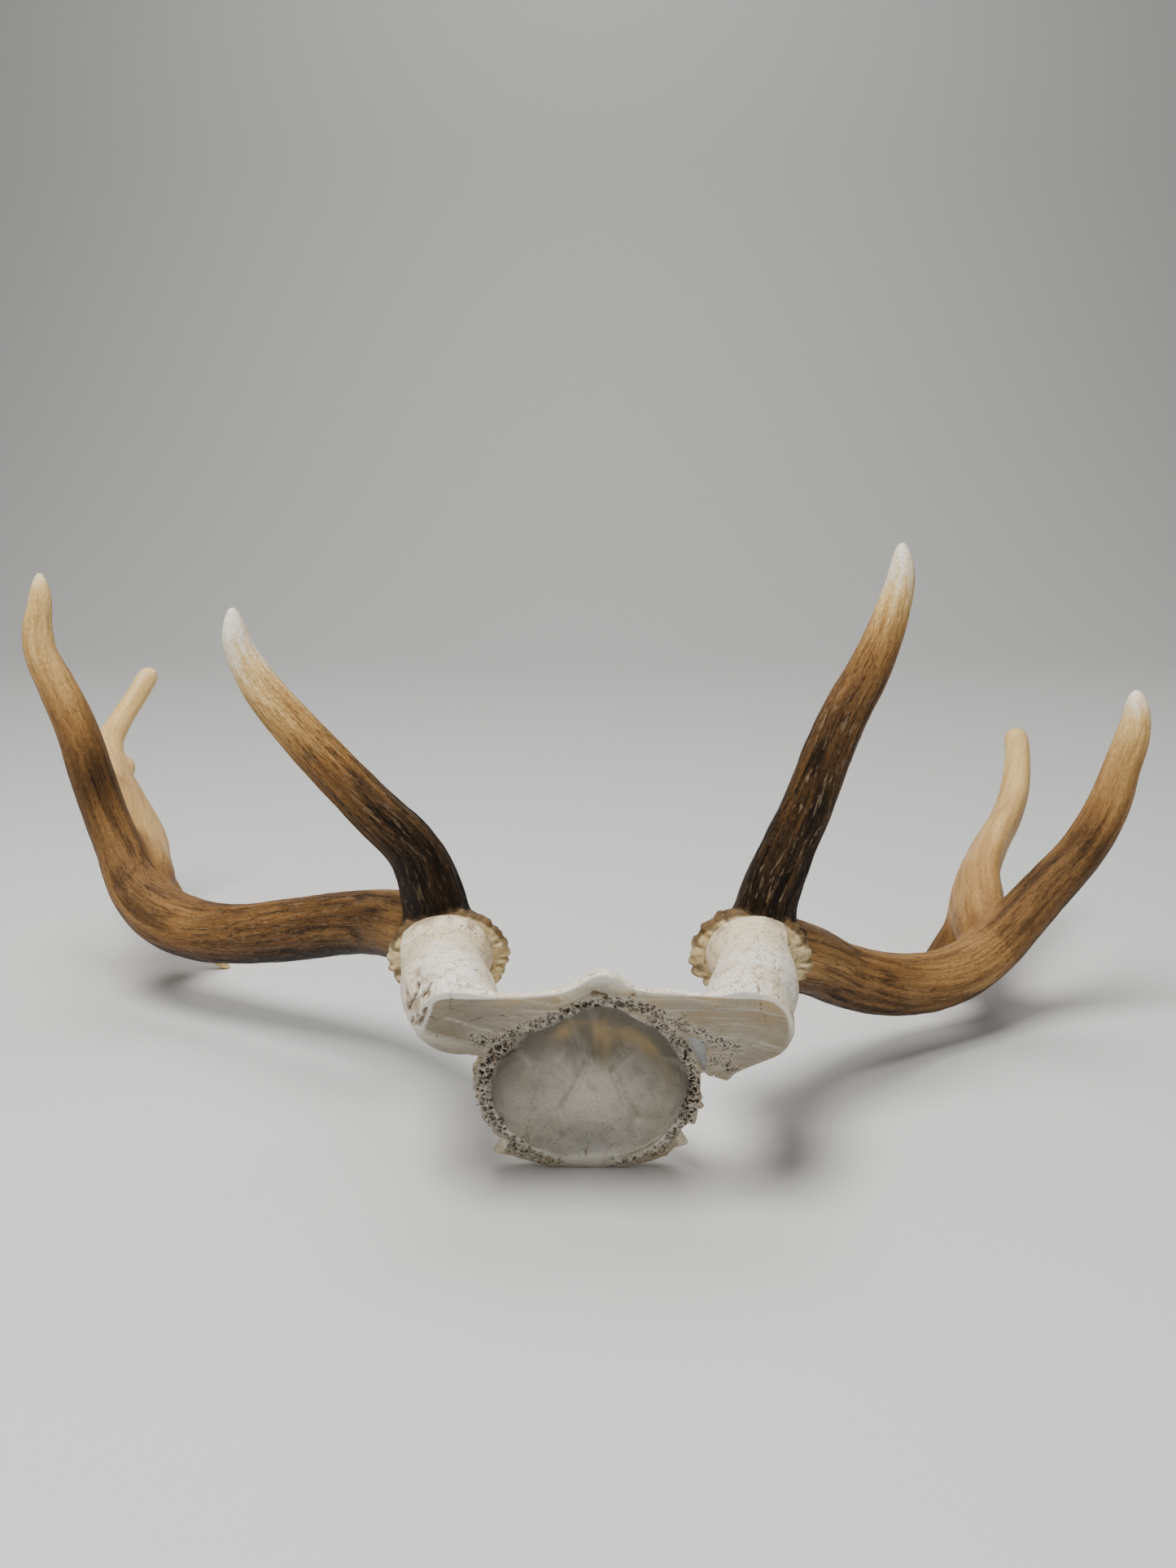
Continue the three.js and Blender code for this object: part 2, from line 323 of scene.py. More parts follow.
# Points come in from the occiput and go out in metres of the shared frame
def makePiece(name, points, quads, layers, nodes, material):
    mesh = bpy.data.meshes.new(name)
    mesh.vertices.add(len(points))
    mesh.vertices.foreach_set("co", ((points + occiput) / 1000).astype(np.float32).ravel())
    mesh.loops.add(quads.size)
    mesh.loops.foreach_set("vertex_index", quads.astype(np.int32).ravel())
    mesh.polygons.add(len(quads))
    mesh.polygons.foreach_set("loop_start", np.arange(0, quads.size, 4, dtype=np.int32))
    mesh.polygons.foreach_set("use_smooth", np.ones(len(quads), bool))
    mesh.update(calc_edges=True)
    mesh.validate()
    for key, values in layers.items():
        kind, field = ("FLOAT", "value") if values.ndim == 1 else ("FLOAT_VECTOR", "vector")
        attribute = mesh.attributes.new(key, kind, "POINT")
        attribute.data.foreach_set(field, values.astype(np.float32).ravel())
    mesh.materials.append(material)
    piece = addObject(name, mesh)
    thinOut(piece)
    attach(piece, "root")
    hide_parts(*nodes)
    print(name, len(piece.data.polygons), "faces")


# Shader groups shared by bone and antler


def newGroup(name, inputs, outputs):
    group = bpy.data.node_groups.new(name, "ShaderNodeTree")
    for label, kind in inputs:
        group.interface.new_socket(label, in_out="INPUT", socket_type=kind)
    for label, kind in outputs:
        group.interface.new_socket(label, in_out="OUTPUT", socket_type=kind)
    return group, group.nodes.new("NodeGroupInput"), group.nodes.new("NodeGroupOutput")


# Inputs by name or place; each is a socket to link or a plain value
def feed(tree, made, inputs):
    for key, value in inputs.items():
        if isinstance(value, bpy.types.NodeSocket):
            tree.links.new(value, made.inputs[key])
        else:
            made.inputs[key].default_value = value


def node(tree, kind, inputs, **settings):
    made = tree.nodes.new("ShaderNode" + kind)
    for key, value in settings.items():
        setattr(made, key, value)
    feed(tree, made, inputs)
    return made.outputs


def math2(tree, operation, *values, clamp=False):
    return node(tree, "Math", dict(enumerate(values)), operation=operation, use_clamp=clamp)[0]


def times(tree, a, b):
    return math2(tree, "MULTIPLY", a, b)


def scaled(tree, vector, factors):
    return node(tree, "VectorMath", {0: vector, 1: factors}, operation="MULTIPLY")[0]


def noiseNode(tree, vector, scale, detail=3.0, rough=0.55, warp=0.0):
    given = {"Vector": vector, "Scale": scale, "Detail": detail, "Roughness": rough, "Distortion": warp}
    return node(tree, "TexNoise", given)["Fac"]


def between(tree, value, low, high, start=0.0, end=1.0):
    given = {"Value": value, "From Min": low, "From Max": high, "To Min": start, "To Max": end}
    return node(tree, "MapRange", given, interpolation_type="SMOOTHSTEP")["Result"]


def mixColour(tree, factor, a, b):
    a, b = ((*colour, 1.0) if isinstance(colour, tuple) else colour for colour in (a, b))
    return node(tree, "Mix", {0: factor, 6: a, 7: b}, data_type="RGBA")[2]


def colourRamp(tree, value, stops):
    made = tree.nodes.new("ShaderNodeValToRGB")
    feed(tree, made, {"Fac": value})
    while len(made.color_ramp.elements) < len(stops):
        made.color_ramp.elements.new(0.5)
    for element, (place, colour) in zip(made.color_ramp.elements, stops):
        element.position = place
        element.color = (*colour, 1.0)
    return made.outputs["Color"]


def layer(tree, name, kind="Fac"):
    return node(tree, "Attribute", {}, attribute_name=name)[kind]


# A place shaken by soft noise
def warped(tree, place, scale, reach):
    warp = node(tree, "TexNoise", {"Vector": place, "Scale": scale})["Color"]
    inputs = {0: warp, 1: (reach, reach, reach), 2: place}
    return node(tree, "VectorMath", inputs, operation="MULTIPLY_ADD")[0]


# Fine pores painted dark as the shade inside them: a mask and the dip that goes with it
def poreGroup():
    group, given, out = newGroup(
        "pores",
        [("Place", "NodeSocketVector"), ("Mask", "NodeSocketFloat")],
        [("Hole", "NodeSocketFloat"), ("Height", "NodeSocketFloat")],
    )
    moved = warped(group, given.outputs["Place"], 0.55, 2.2)
    holes = []
    for scale, size in ((0.95, 0.34), (1.6, 0.36)):
        cells = node(group, "TexVoronoi", {"Vector": moved, "Scale": scale})
        split = node(group, "SeparateColor", {0: cells["Color"]})
        room = times(group, split[0], size)
        room = times(group, room, given.outputs["Mask"])
        room = times(group, room, 1.7)
        edge = math2(group, "SUBTRACT", room, cells["Distance"])
        holes.append(between(group, edge, -0.04, 0.1))
    hole = math2(group, "MAXIMUM", holes[0], holes[1])
    feed(group, out, {"Hole": hole, "Height": times(group, hole, -1.0)})
    return group


# Long streaks that run with the grain, and the small relief under them
def streakGroup():
    group, given, out = newGroup(
        "streaks",
        [("Grain", "NodeSocketVector")],
        [(label, "NodeSocketFloat") for label in ("Streak", "Fleck", "Groove", "Height")],
    )
    grain = given.outputs["Grain"]
    streak = noiseNode(group, scaled(group, grain, (0.27, 0.27, 0.012)), 1.0, 3.0, 0.5, 0.3)
    fine = noiseNode(group, scaled(group, grain, (1.3, 1.3, 0.42)), 1.0, 4.0, 0.68)
    fleck = noiseNode(group, scaled(group, grain, (0.6, 0.6, 0.15)), 1.0, 4.0, 0.62, 0.4)
    line = noiseNode(group, scaled(group, grain, (0.38, 0.38, 0.022)), 1.0, 3.0, 0.55, 0.5)
    offLine = math2(group, "ABSOLUTE", math2(group, "SUBTRACT", line, 0.5))
    groove = between(group, offLine, 0.0, 0.035, 1.0, 0.0)
    groove = times(group, groove, between(group, fleck, 0.38, 0.56))
    halfStreak = times(group, streak, 0.5)
    streak = math2(group, "MULTIPLY_ADD", fine, 0.5, halfStreak)
    height = math2(group, "MULTIPLY_ADD", fleck, 0.7, fine)
    feed(group, out, {"Streak": streak, "Fleck": fleck, "Groove": groove, "Height": height})
    return group


def useGroup(tree, group, **given):
    return node(tree, "Group", given, node_tree=group)


def newMaterial(name):
    material = bpy.data.materials.new(name)
    material.use_nodes = True
    tree = material.node_tree
    return material, tree, tree.nodes["Principled BSDF"]


def bumped(tree, height, strength, distance):
    given = {"Height": height, "Strength": strength, "Distance": distance}
    return node(tree, "Bump", given)["Normal"]


pores = poreGroup()
streaks = streakGroup()

antlerLook = {
    "tones": [
        (0.0, (0.009, 0.005, 0.0025)),
        (0.16, (0.030, 0.0155, 0.0065)),
        (0.34, (0.115, 0.056, 0.019)),
        (0.5, (0.26, 0.131, 0.042)),
        (0.66, (0.47, 0.268, 0.090)),
        (0.82, (0.79, 0.535, 0.215)),
        (1.0, (0.98, 0.91, 0.74)),
    ],
    "fleck": (0.33, 0.245, 0.15),
    "burrUnder": (0.57, 0.415, 0.195),
    "burrPale": (0.80, 0.65, 0.37),
    "crevice": (0.13, 0.085, 0.05),
}


def antlerMaterial():
    material, tree, shader = newMaterial("antler")
    grain = layer(tree, "grain", "Vector")
    field = useGroup(tree, streaks, Grain=grain)
    calm = layer(tree, "calm")
    gutter = layer(tree, "gutter")
    coarse = layer(tree, "coarse")
    swing = times(tree, math2(tree, "SUBTRACT", field["Streak"], 0.5), 0.9)
    tone = math2(tree, "MULTIPLY_ADD", swing, calm, layer(tree, "tone"))
    tone = math2(tree, "MULTIPLY_ADD", gutter, -0.20, tone)
    groove = times(tree, times(tree, field["Groove"], coarse), calm)
    tone = math2(tree, "MULTIPLY_ADD", groove, -0.26, tone, clamp=True)
    colour = colourRamp(tree, tone, antlerLook["tones"])
    speck = between(tree, field["Fleck"], 0.55, 0.66, 0.0, 0.65)
    speck = times(tree, speck, layer(tree, "fleck"))
    colour = mixColour(tree, speck, colour, antlerLook["fleck"])
    patchy = between(tree, field["Fleck"], 0.30, 0.66)
    cream = mixColour(tree, patchy, antlerLook["burrUnder"], antlerLook["burrPale"])
    cream = mixColour(tree, times(tree, gutter, 0.75), cream, antlerLook["crevice"])
    colour = mixColour(tree, layer(tree, "cream"), colour, cream)
    height = math2(tree, "MULTIPLY_ADD", field["Height"], calm, times(tree, gutter, -0.5))
    height = math2(tree, "MULTIPLY_ADD", groove, -0.9, height)
    finish = {
        "Base Color": colour,
        "Roughness": between(tree, tone, 0.1, 0.9, 0.50, 0.40),
        "Specular IOR Level": 0.13,
        "Normal": bumped(tree, height, 0.75, 0.001),
    }
    feed(tree, shader, finish)
    return material


boneLook = {
    "ivory": (0.83, 0.785, 0.67),
    "cream": (0.70, 0.59, 0.41),
    "aged": (0.76, 0.63, 0.40),
    "vein": (0.52, 0.405, 0.255),
    "craze": (0.27, 0.18, 0.10),
    "cutPale": (0.345, 0.305, 0.228),
    "cutTan": (0.345, 0.265, 0.16),
    "cutWhite": (0.56, 0.515, 0.415),
    "honey": (0.53, 0.385, 0.205),
    # painted shade for the left wing of the sawn face
    "leftWingShade": (0.225, 0.195, 0.145),
    "facet": (0.35, 0.355, 0.345),
    "blue": (0.50, 0.505, 0.495),
    # painted shade colour for the overhung upper part of the hollow
    "hollowShadeGrey": (0.15, 0.138, 0.112),
    "hollowBeige": (0.60, 0.555, 0.46),
    "hollowPale": (0.86, 0.80, 0.68),
    "hollowDark": (0.20, 0.182, 0.148),
    # painted glow of light through thin bone
    "warmGlow": (0.41, 0.305, 0.165),
    "sponge": (0.57, 0.51, 0.42),
    # painted shade inside the pores
    "dark": (0.042, 0.031, 0.021),
    "brown": (0.17, 0.10, 0.05),
    "crack": (0.20, 0.125, 0.065),
    "grime": (0.27, 0.19, 0.115),
    "cutGrit": (0.33, 0.28, 0.21),
}


# Fine craze lines: edges of warped cells
def crazeLines(tree, place, scale, width):
    given = {"Vector": warped(tree, place, 0.3, 5), "Scale": scale}
    cells = node(tree, "TexVoronoi", given, feature="DISTANCE_TO_EDGE")
    return between(tree, cells["Distance"], 0.0, width, 1.0, 0.0)


def boneMaterial():
    material, tree, shader = newMaterial("bone")

    def over(colour, *steps):
        for amount, name in steps:
            colour = mixColour(tree, amount, colour, boneLook[name])
        return colour

    place = layer(tree, "place", "Vector")
    sheet = layer(tree, "sheet", "Vector")
    cut = layer(tree, "cut")
    hollow = layer(tree, "hollow")
    gougeGap = layer(tree, "gougeGap")
    crack = between(tree, layer(tree, "crackGap"), 0.1, 0.36, 1.0, 0.0)
    crack = math2(tree, "MAXIMUM", crack, between(tree, gougeGap, 0.25, 0.65, 1.0, 0.0))
    stain = between(tree, gougeGap, 0.4, 1.7, 0.6, 0.0)
    stain = math2(tree, "MAXIMUM", layer(tree, "stain"), stain)
    spongy = layer(tree, "spongy")

    cloud = noiseNode(tree, place, 0.07, 4.0, 0.6, 0.3)
    grit = noiseNode(tree, place, 0.8, 4.0, 0.65)
    mottle = noiseNode(tree, place, 0.28, 4.0, 0.65, 0.6)
    vein = math2(tree, "SUBTRACT", noiseNode(tree, place, 0.2, 3.0, 0.62, 1.8), 0.5)
    vein = between(tree, math2(tree, "ABSOLUTE", vein), 0.0, 0.045, 1.0, 0.0)
    craze = times(tree, crazeLines(tree, place, 0.15, 0.028), between(tree, mottle, 0.40, 0.54))
    craze = times(tree, craze, math2(tree, "SUBTRACT", 1.0, hollow))
    clouded = between(tree, cloud, 0.42, 0.62, 0.0, 0.85)
    outer = mixColour(tree, clouded, boneLook["ivory"], boneLook["cream"])
    outer = over(
        outer,
        (between(tree, mottle, 0.52, 0.70, 0.0, 0.7), "cream"),
        (layer(tree, "aged"), "aged"),
        (times(tree, vein, 0.7), "vein"),
        (between(tree, grit, 0.55, 0.8, 0.0, 0.5), "vein"),
        (times(tree, craze, 0.8), "craze"),
        (layer(tree, "grime"), "grime"),
    )

    lamella = noiseNode(tree, scaled(tree, sheet, (0.03, 1.0, 0.1)), 1.0, 4.0, 0.6, 0.4)
    face = mixColour(tree, between(tree, cloud, 0.40, 0.65), boneLook["cutPale"], boneLook["cutTan"])
    face = over(
        face,
        (between(tree, lamella, 0.52, 0.68, 0.0, 0.5), "cutTan"),
        (between(tree, lamella, 0.46, 0.34, 0.0, 0.5), "cutWhite"),
        (between(tree, grit, 0.56, 0.75, 0.0, 0.6), "cutGrit"),
    )
    depth = node(tree, "SeparateXYZ", {0: sheet})["Y"]
    honey = between(tree, depth, 1.0, 8.0, 0.75, 0.0)
    honey = times(tree, honey, between(tree, cloud, 0.35, 0.6))
    face = over(
        face,
        (honey, "honey"),
        # painted shade: the left wing of the sawn face darker towards its end
        (layer(tree, "leftWingShade"), "leftWingShade"),
        # painted highlights on the stair-step ridges of the sawn face
        (layer(tree, "ridge"), "cutWhite"),
        # partly the ivory outer layer at the saw edge, partly a painted highlight along that edge, lit
        # from above
        (layer(tree, "rim"), "ivory"),
    )
    colour = mixColour(tree, cut, outer, face)

    wash = noiseNode(tree, place, 0.085, 4.0, 0.6, 0.8)
    ray = layer(tree, "ray")
    # painted shade: the hollow turns from beige to grey towards its overhung upper part
    deep = layer(tree, "deep")
    inside = mixColour(tree, deep, boneLook["hollowBeige"], boneLook["hollowShadeGrey"])
    inside = over(
        inside,
        # painted light on the lower middle of the hollow, which faces up
        (layer(tree, "pale"), "hollowPale"),
        (between(tree, wash, 0.52, 0.70, 0.0, 0.22), "hollowPale"),
        (between(tree, wash, 0.47, 0.33, 0.0, 0.32), "hollowDark"),
        (between(tree, ray, 0.1, 0.8, 0.0, 0.25), "hollowPale"),
        (between(tree, ray, -0.1, -0.8, 0.0, 0.2), "hollowDark"),
        (layer(tree, "blue"), "blue"),
        (between(tree, grit, 0.56, 0.76, 0.0, 0.5), "hollowDark"),
        # painted glow where thin bone lets light through
        (layer(tree, "warmGlow"), "warmGlow"),
    )
    colour = mixColour(tree, hollow, colour, inside)
    colour = over(colour, (layer(tree, "facet"), "facet"))

    holes = useGroup(tree, pores, Place=place, Mask=spongy)
    sponge = times(tree, times(tree, spongy, cut), 0.5)
    colour = over(
        colour,
        (sponge, "sponge"),
        (stain, "brown"),
        (times(tree, crack, 0.85), "crack"),
        # painted shade inside the fine pores and at the bottom of the cut ones
        (times(tree, holes["Hole"], 0.88), "dark"),
        (layer(tree, "pitShade"), "dark"),
    )
    relief = math2(tree, "MULTIPLY_ADD", mottle, 0.9, times(tree, grit, 0.6))
    relief = math2(tree, "ADD", relief, times(tree, holes["Height"], 1.6))
    relief = math2(tree, "MULTIPLY_ADD", crack, -0.9, relief)
    relief = math2(tree, "MULTIPLY_ADD", craze, -0.6, relief)
    relief = math2(tree, "MULTIPLY_ADD", times(tree, lamella, cut), 1.2, relief)
    relief = math2(tree, "MULTIPLY_ADD", layer(tree, "ridge"), 0.9, relief)
    finish = {
        "Base Color": colour,
        "Roughness": between(tree, hollow, 0.0, 1.0, 0.62, 0.48),
        "Specular IOR Level": 0.35,
        "Subsurface Weight": 0.06,
        "Subsurface Radius": (0.003, 0.002, 0.0015),
        "Normal": bumped(tree, relief, 0.6, 0.0008),
    }
    feed(tree, shader, finish)
    return material


antlerSkin = antlerMaterial()
boneSkin = boneMaterial()
print("materials ready")

# Skull cap

skull = {
    "pitch": 0.42,
    "vault": ((0, 0, 41.5), (39.5, 33, 42)),
    "brainHollow": ((0.5, -2, 42.5), (34, 30, 38)),
    "hollowPeak": ((4, -2, 62), (22, 17, 21)),
    # Outlines on the saw plane, x and z
    "plateOutline": [
        (4.5, 98.6), (8.6, 96.6), (13.5, 93.2), (20, 91), (28, 90), (36, 89.2), (46, 88.4),
        (55, 88), (60.5, 86.3), (64.8, 81.5), (67, 74.8), (67, 67.8), (64.6, 61.8), (57.3, 56.6),
        (50.5, 51.5), (47.5, 48), (43.7, 49.2), (40.5, 52.3), (30, 60), (0, 66), (-28, 63),
        (-38.9, 65.6), (-47, 68.6), (-54.3, 71.8), (-54.2, 75.4), (-52.5, 80), (-50.5, 86),
        (-47, 88), (-38, 88), (-26.7, 88.2), (-16.3, 89.4), (-8.4, 91), (-3, 94.2), (0.8, 97.2),
    ],
    "mouth": [
        (5.1, 83.3), (-6, 79.5), (-16.7, 72.5), (-23.7, 65.8), (-30.4, 55.6), (-33.9, 45.2),
        (-33.3, 34.4), (-29.5, 23.3), (-22.6, 14.2), (-9.6, 5.2), (5.2, 3.2), (19.9, 7.6),
        (28.3, 16.5), (32.9, 30), (34.3, 43.1), (32.3, 55.6), (27.7, 65.8), (18, 76.4),
    ],
    "plateThick": 2.4,
    "dish": 2.8,
    "crownRidge": ((4.5, 4, 80), (8.5, 9, 15)),
    "napeRidge": ((1, 5, 7), (31, 8, 8)),
    "napeSpurs": [
        [(-23, 6, 12, 5.5), (-28, 4.8, 8.4, 4.2), (-34, 3.6, 4.8, 2)],
        [(25, 6, 15, 5.5), (30, 4.8, 12.4, 4.2), (36.4, 3.6, 9.6, 2)],
    ],
    # Smooth bluish facet beside the mouth, and pale lines on the stair-step ridges of the sawn face's
    # layers, brightened as painted highlights
    "facet": [(31.8, 67.9), (39.5, 63.5), (40.2, 52), (36.7, 59.7)],
    "ridges": [
        [(6.6, 88.5), (19.7, 87.8), (32.8, 86.4), (43.2, 82.9)],
        [(29, 74.4), (40.3, 67.1), (51.3, 66.4), (65, 62.7)],
        [(-23.4, 87.6), (-17.7, 86.4), (-10.5, 84.7)],
        [(-46.6, 76.6), (-37, 71.9), (-32, 70.1)],
        [(8, 92), (20, 89.6), (34, 88.2)],
    ],
    "smudge": [(-30.2, 59.3), (-25.1, 63.8), (-20.1, 69.3)],
    "pedicles": {
        "left": [
            (-40.5, 0.5, 77.5, 12, 10), (-44.2, 9, 75, 16.5, 14.4), (-49.4, 24, 68.5, 16, 15.8),
            (-52, 40, 62.5, 14.6, 14), (-53, 47, 60, 14.2, 14.4), (-53.4, 51, 58.6, 15.4, 18.2),
        ],
        "right": [
            (50, 0.5, 76, 14.5, 8.5), (52.8, 9, 74.5, 16.2, 13.8), (58, 24, 68, 15.8, 15.2),
            (60.5, 40, 62, 14.8, 14), (61.6, 47, 59.7, 14.4, 14.4), (62, 51, 58.4, 15.4, 18.2),
        ],
    },
    "holeRadius": (0.36, 0.8),
    "holeDepth": (0.2, 0.9),
    # Bands of open sponge on the sawn face: path in x and z, half width, holes per 10 mm
    "sponge": [
        ([(-30, 65), (-24, 70), (-17, 75), (-8.6, 80.6), (-2, 83.6), (3.3, 86)], 2.2, 14),
        (
            [(6.7, 86.8), (13.8, 85.5), (20.5, 82.1), (27.3, 76.8), (34.2, 70.9), (42.7, 65), (50, 61)],
            2.3,
            12,
        ),
        (
            [(20.6, 77.4), (26.8, 70.5), (32.6, 60.5), (36.2, 47.3), (36.2, 38), (34.4, 26), (30.4, 17)],
            2.6,
            16,
        ),
        ([(-27, 64), (-33.6, 55.6), (-36, 43.1), (-35, 32.2), (-31.4, 22)], 2.6, 15),
        ([(-30, 17), (-25.5, 10.5), (-18.4, 6), (-9.6, 2.4)], 2.6, 18),
        ([(9.6, 2.8), (18.3, 5.4), (25, 10), (30, 17)], 2.4, 16),
        ([(43, 56), (49, 53)], 3.0, 9),
        ([(-38, 68), (-31, 65)], 2.4, 9),
    ],
    # Marks that follow the photograph, as paths of its pixels: fine cracks, brown gouges, raised fans
    "cracks": [
        [(520, 1147), (537, 1152), (548, 1146), (562, 1141), (574, 1137), (588, 1148)],
        [(540, 1163), (535, 1180), (519, 1200)],
        [(552, 1206), (554, 1224), (556, 1233), (553, 1241), (553, 1249)],
        [(535, 1238), (543, 1240), (553, 1241), (566, 1244)],
        [(527, 1249), (536, 1253), (547, 1250), (553, 1249)],
        [(534, 1253), (538, 1259), (540, 1267), (537, 1275)],
        [(556, 1257), (570, 1257), (577, 1256), (586, 1251), (599, 1251), (645, 1248)],
        [
            (930, 1139), (934, 1152), (930, 1172), (930, 1195), (934, 1221), (931, 1233),
            (939, 1250), (941, 1259),
        ],
        [(929, 1237), (912, 1241), (897, 1233)],
        [(954, 1178), (952, 1195)],
        [(899, 1298), (897, 1306), (903, 1320)],
        [(656, 1368), (651, 1383), (652, 1400)],
        [(722, 1411), (719, 1423)],
        [(831, 1263), (850, 1276), (869, 1287)],
    ],
    "gouges": [
        [(509, 1208), (507, 1220), (503, 1228), (498, 1240)],
        [(526, 1208), (523, 1215), (523, 1224)],
        [(523, 1216), (513, 1224)],
        [(503, 1253), (505, 1263)],
        [(511, 1247), (510, 1255), (511, 1261)],
        [(523, 1243), (519, 1254), (517, 1260)],
        [(731, 1222), (744, 1225), (745, 1230)],
        [(604, 1294), (606, 1305)],
        [(611, 1303), (620, 1300), (635, 1292)],
    ],
    "fans": [
        [(720, 1309), (712, 1323), (706, 1339), (690, 1362)],
        [(754, 1315), (760, 1333), (770, 1354), (784, 1374)],
    ],
    "hump": ([(716, 1406), (738, 1406)], 6.5),
    "dent": [(726, 1330), (728, 1336)],
    # Warm glow painted in the hollow where thin bone lets light through: centre, spread in mm, strength
    "warmGlow": [
        ((4, 27.7, 44.4), (3.2, 6, 8), 0.9),
        ((-9, 26.7, 41), (5, 5, 4), 0.8),
        ((-4, 27.5, 47), (6, 5, 3), 0.4),
        ((14, 25, 43), (7, 6, 6), 0.85),
        ((22, 21, 41), (6, 6, 5), 0.75),
        ((29, 13, 35.7), (3.5, 4, 4), 0.6),
        ((6, 26.5, 34), (3, 4, 7), 0.45),
    ],
}


def closedOutline(corners, count=220):
    corners = np.array([(x, z, 0) for x, z in corners], float)
    wrapped = np.vstack([corners[-2:], corners, corners[:3]])
    places = np.linspace(2, 2 + len(corners), count, endpoint=False)
    return curve(wrapped, places)[:, :2]


plateEdge = closedOutline(skull["plateOutline"])
mouthEdge = closedOutline(skull["mouth"])
frontEdge = np.array(sorted(c for c in skull["plateOutline"] if c[1] > 86)).T


def pedicleBranch(side):
    return branch(skull["pedicles"][side], (0, 0, 1), rounded=False, spacing=1.0)


# Depth below the square end of a pedicle
def seatGap(points, side):
    made = pedicleBranch(side)
    far = (made["centre"][-1] - points) @ made["along"][-1]
    return np.where(np.sign(made["centre"][-1][0]) * points[:, 0] > 15, far, 99)


# How far the sawn face is scooped in, and the brain hollow narrowed at its mouth
def sawnLevel(x, flat):
    wings = ramp(np.abs(x - 4), 12, 34)
    return skull["dish"] * wings * (1 - np.exp(np.minimum(flat, 0) / 3.5))


def hollowDistance(x, y, z, mouth):
    main = eggDistance(x, y, z, *skull["brainHollow"])
    peak = eggDistance(x, y, z, *skull["hollowPeak"])
    return smoothMax(smoothMin(main, peak, 9), mouth - 0.4 * y, 1.2)


def formSkull(chance):
    field = Field((-68, -1.0, -4), (72, 56, 100), skull["pitch"])
    _, x, y, z = field.whole()
    acrossX, acrossZ = x[:, 0, :], z[None, :]

    body = eggDistance(x, y, z, *skull["vault"])
    rim = np.argwhere((np.abs(body) < 4) & (y < 10) & (z < 64))
    spots = field.low + rim * field.pitch
    lumps = 1.8 * noise(spots, (4.2, 7, 4.2), 3) + 1.5 * noise(spots, (2.3, 3.2, 2.3), 4)
    body[tuple(rim.T)] += np.minimum(lumps, 1.1) * ramp(10 - spots[:, 1], 0, 8)

    flat = outlineDistance(acrossX, acrossZ, plateEdge)
    thick = (skull["plateThick"] + 0.3 * np.clip(-flat, 0, 20))[:, None, :]
    plate = smoothMax(flat[:, None, :], np.abs(y - thick / 2 + 2) - thick / 2 - 2, 1.0)
    body = smoothMin(body, plate, 5)
    body = smoothMin(body, eggDistance(x, y, z, *skull["crownRidge"]), 5)
    body = smoothMin(body, eggDistance(x, y, z, *skull["napeRidge"]), 5)
    field.values = body.astype(np.float32)
    for spur in skull["napeSpurs"]:
        addBranch(field, branch(spur, (0, 1, 0), spacing=0.6), 2, reach=4)
    for side in skull["pedicles"]:
        made = pedicleBranch(side)
        top, along = made["centre"][-1], made["along"][-1]
        above = dot(x - top[0], y - top[1], z - top[2], along)
        own = Field(field.low, field.low + (field.shape - 1) * field.pitch, field.pitch)
        addBranch(own, made, 0.1)
        joinFields(field, own, 7)
        ended = (np.sign(top[0]) * x > 20) & (y > 30)
        field.values = np.where(ended, np.maximum(field.values, above), field.values).astype(np.float32)

    mouth = outlineDistance(acrossX, acrossZ, mouthEdge)[:, None, :]
    body = smoothMax(field.values, -hollowDistance(x, y, z, mouth), 0.8)
    body = smoothMax(body, sawnLevel(acrossX, flat)[:, None, :] - y, 0.5)
    body = np.maximum(body, -(z * math.cos(cutLean) + y * math.sin(cutLean)))
    field.values = body.astype(np.float32)

    # Larger holes of the sponge are cut, the finest are left to the surface
    for path, half, rate in skull["sponge"]:
        path = np.array(path, float)
        lengths = np.linalg.norm(np.diff(path, axis=0), axis=1)
        for _ in range(int(lengths.sum() / 10 * rate * 1.7)):
            leg = chance.choice(len(lengths), p=lengths / lengths.sum())
            place = path[leg] + chance.random() * (path[leg + 1] - path[leg])
            place = place + chance.normal(0, half * 0.72, 2)
            deep = 1.0 + chance.uniform(*skull["holeDepth"])
            wide, long = (chance.uniform(*skull["holeRadius"]) for _ in range(2))
            low = (place[0] - 3, -1, place[1] - 3)
            high = (place[0] + 3, 6, place[1] + 3)
            box, px, py, pz = field.window(low, high)
            level = skull["dish"] * 0.5 if abs(place[0] - 4) > 26 else 0.0
            hole = eggDistance(px, py, pz, (place[0], level, place[1]), (wide, deep, long))
            field.values[box] = smoothMax(field.values[box], -hole, 0.12)
    return field.skin()


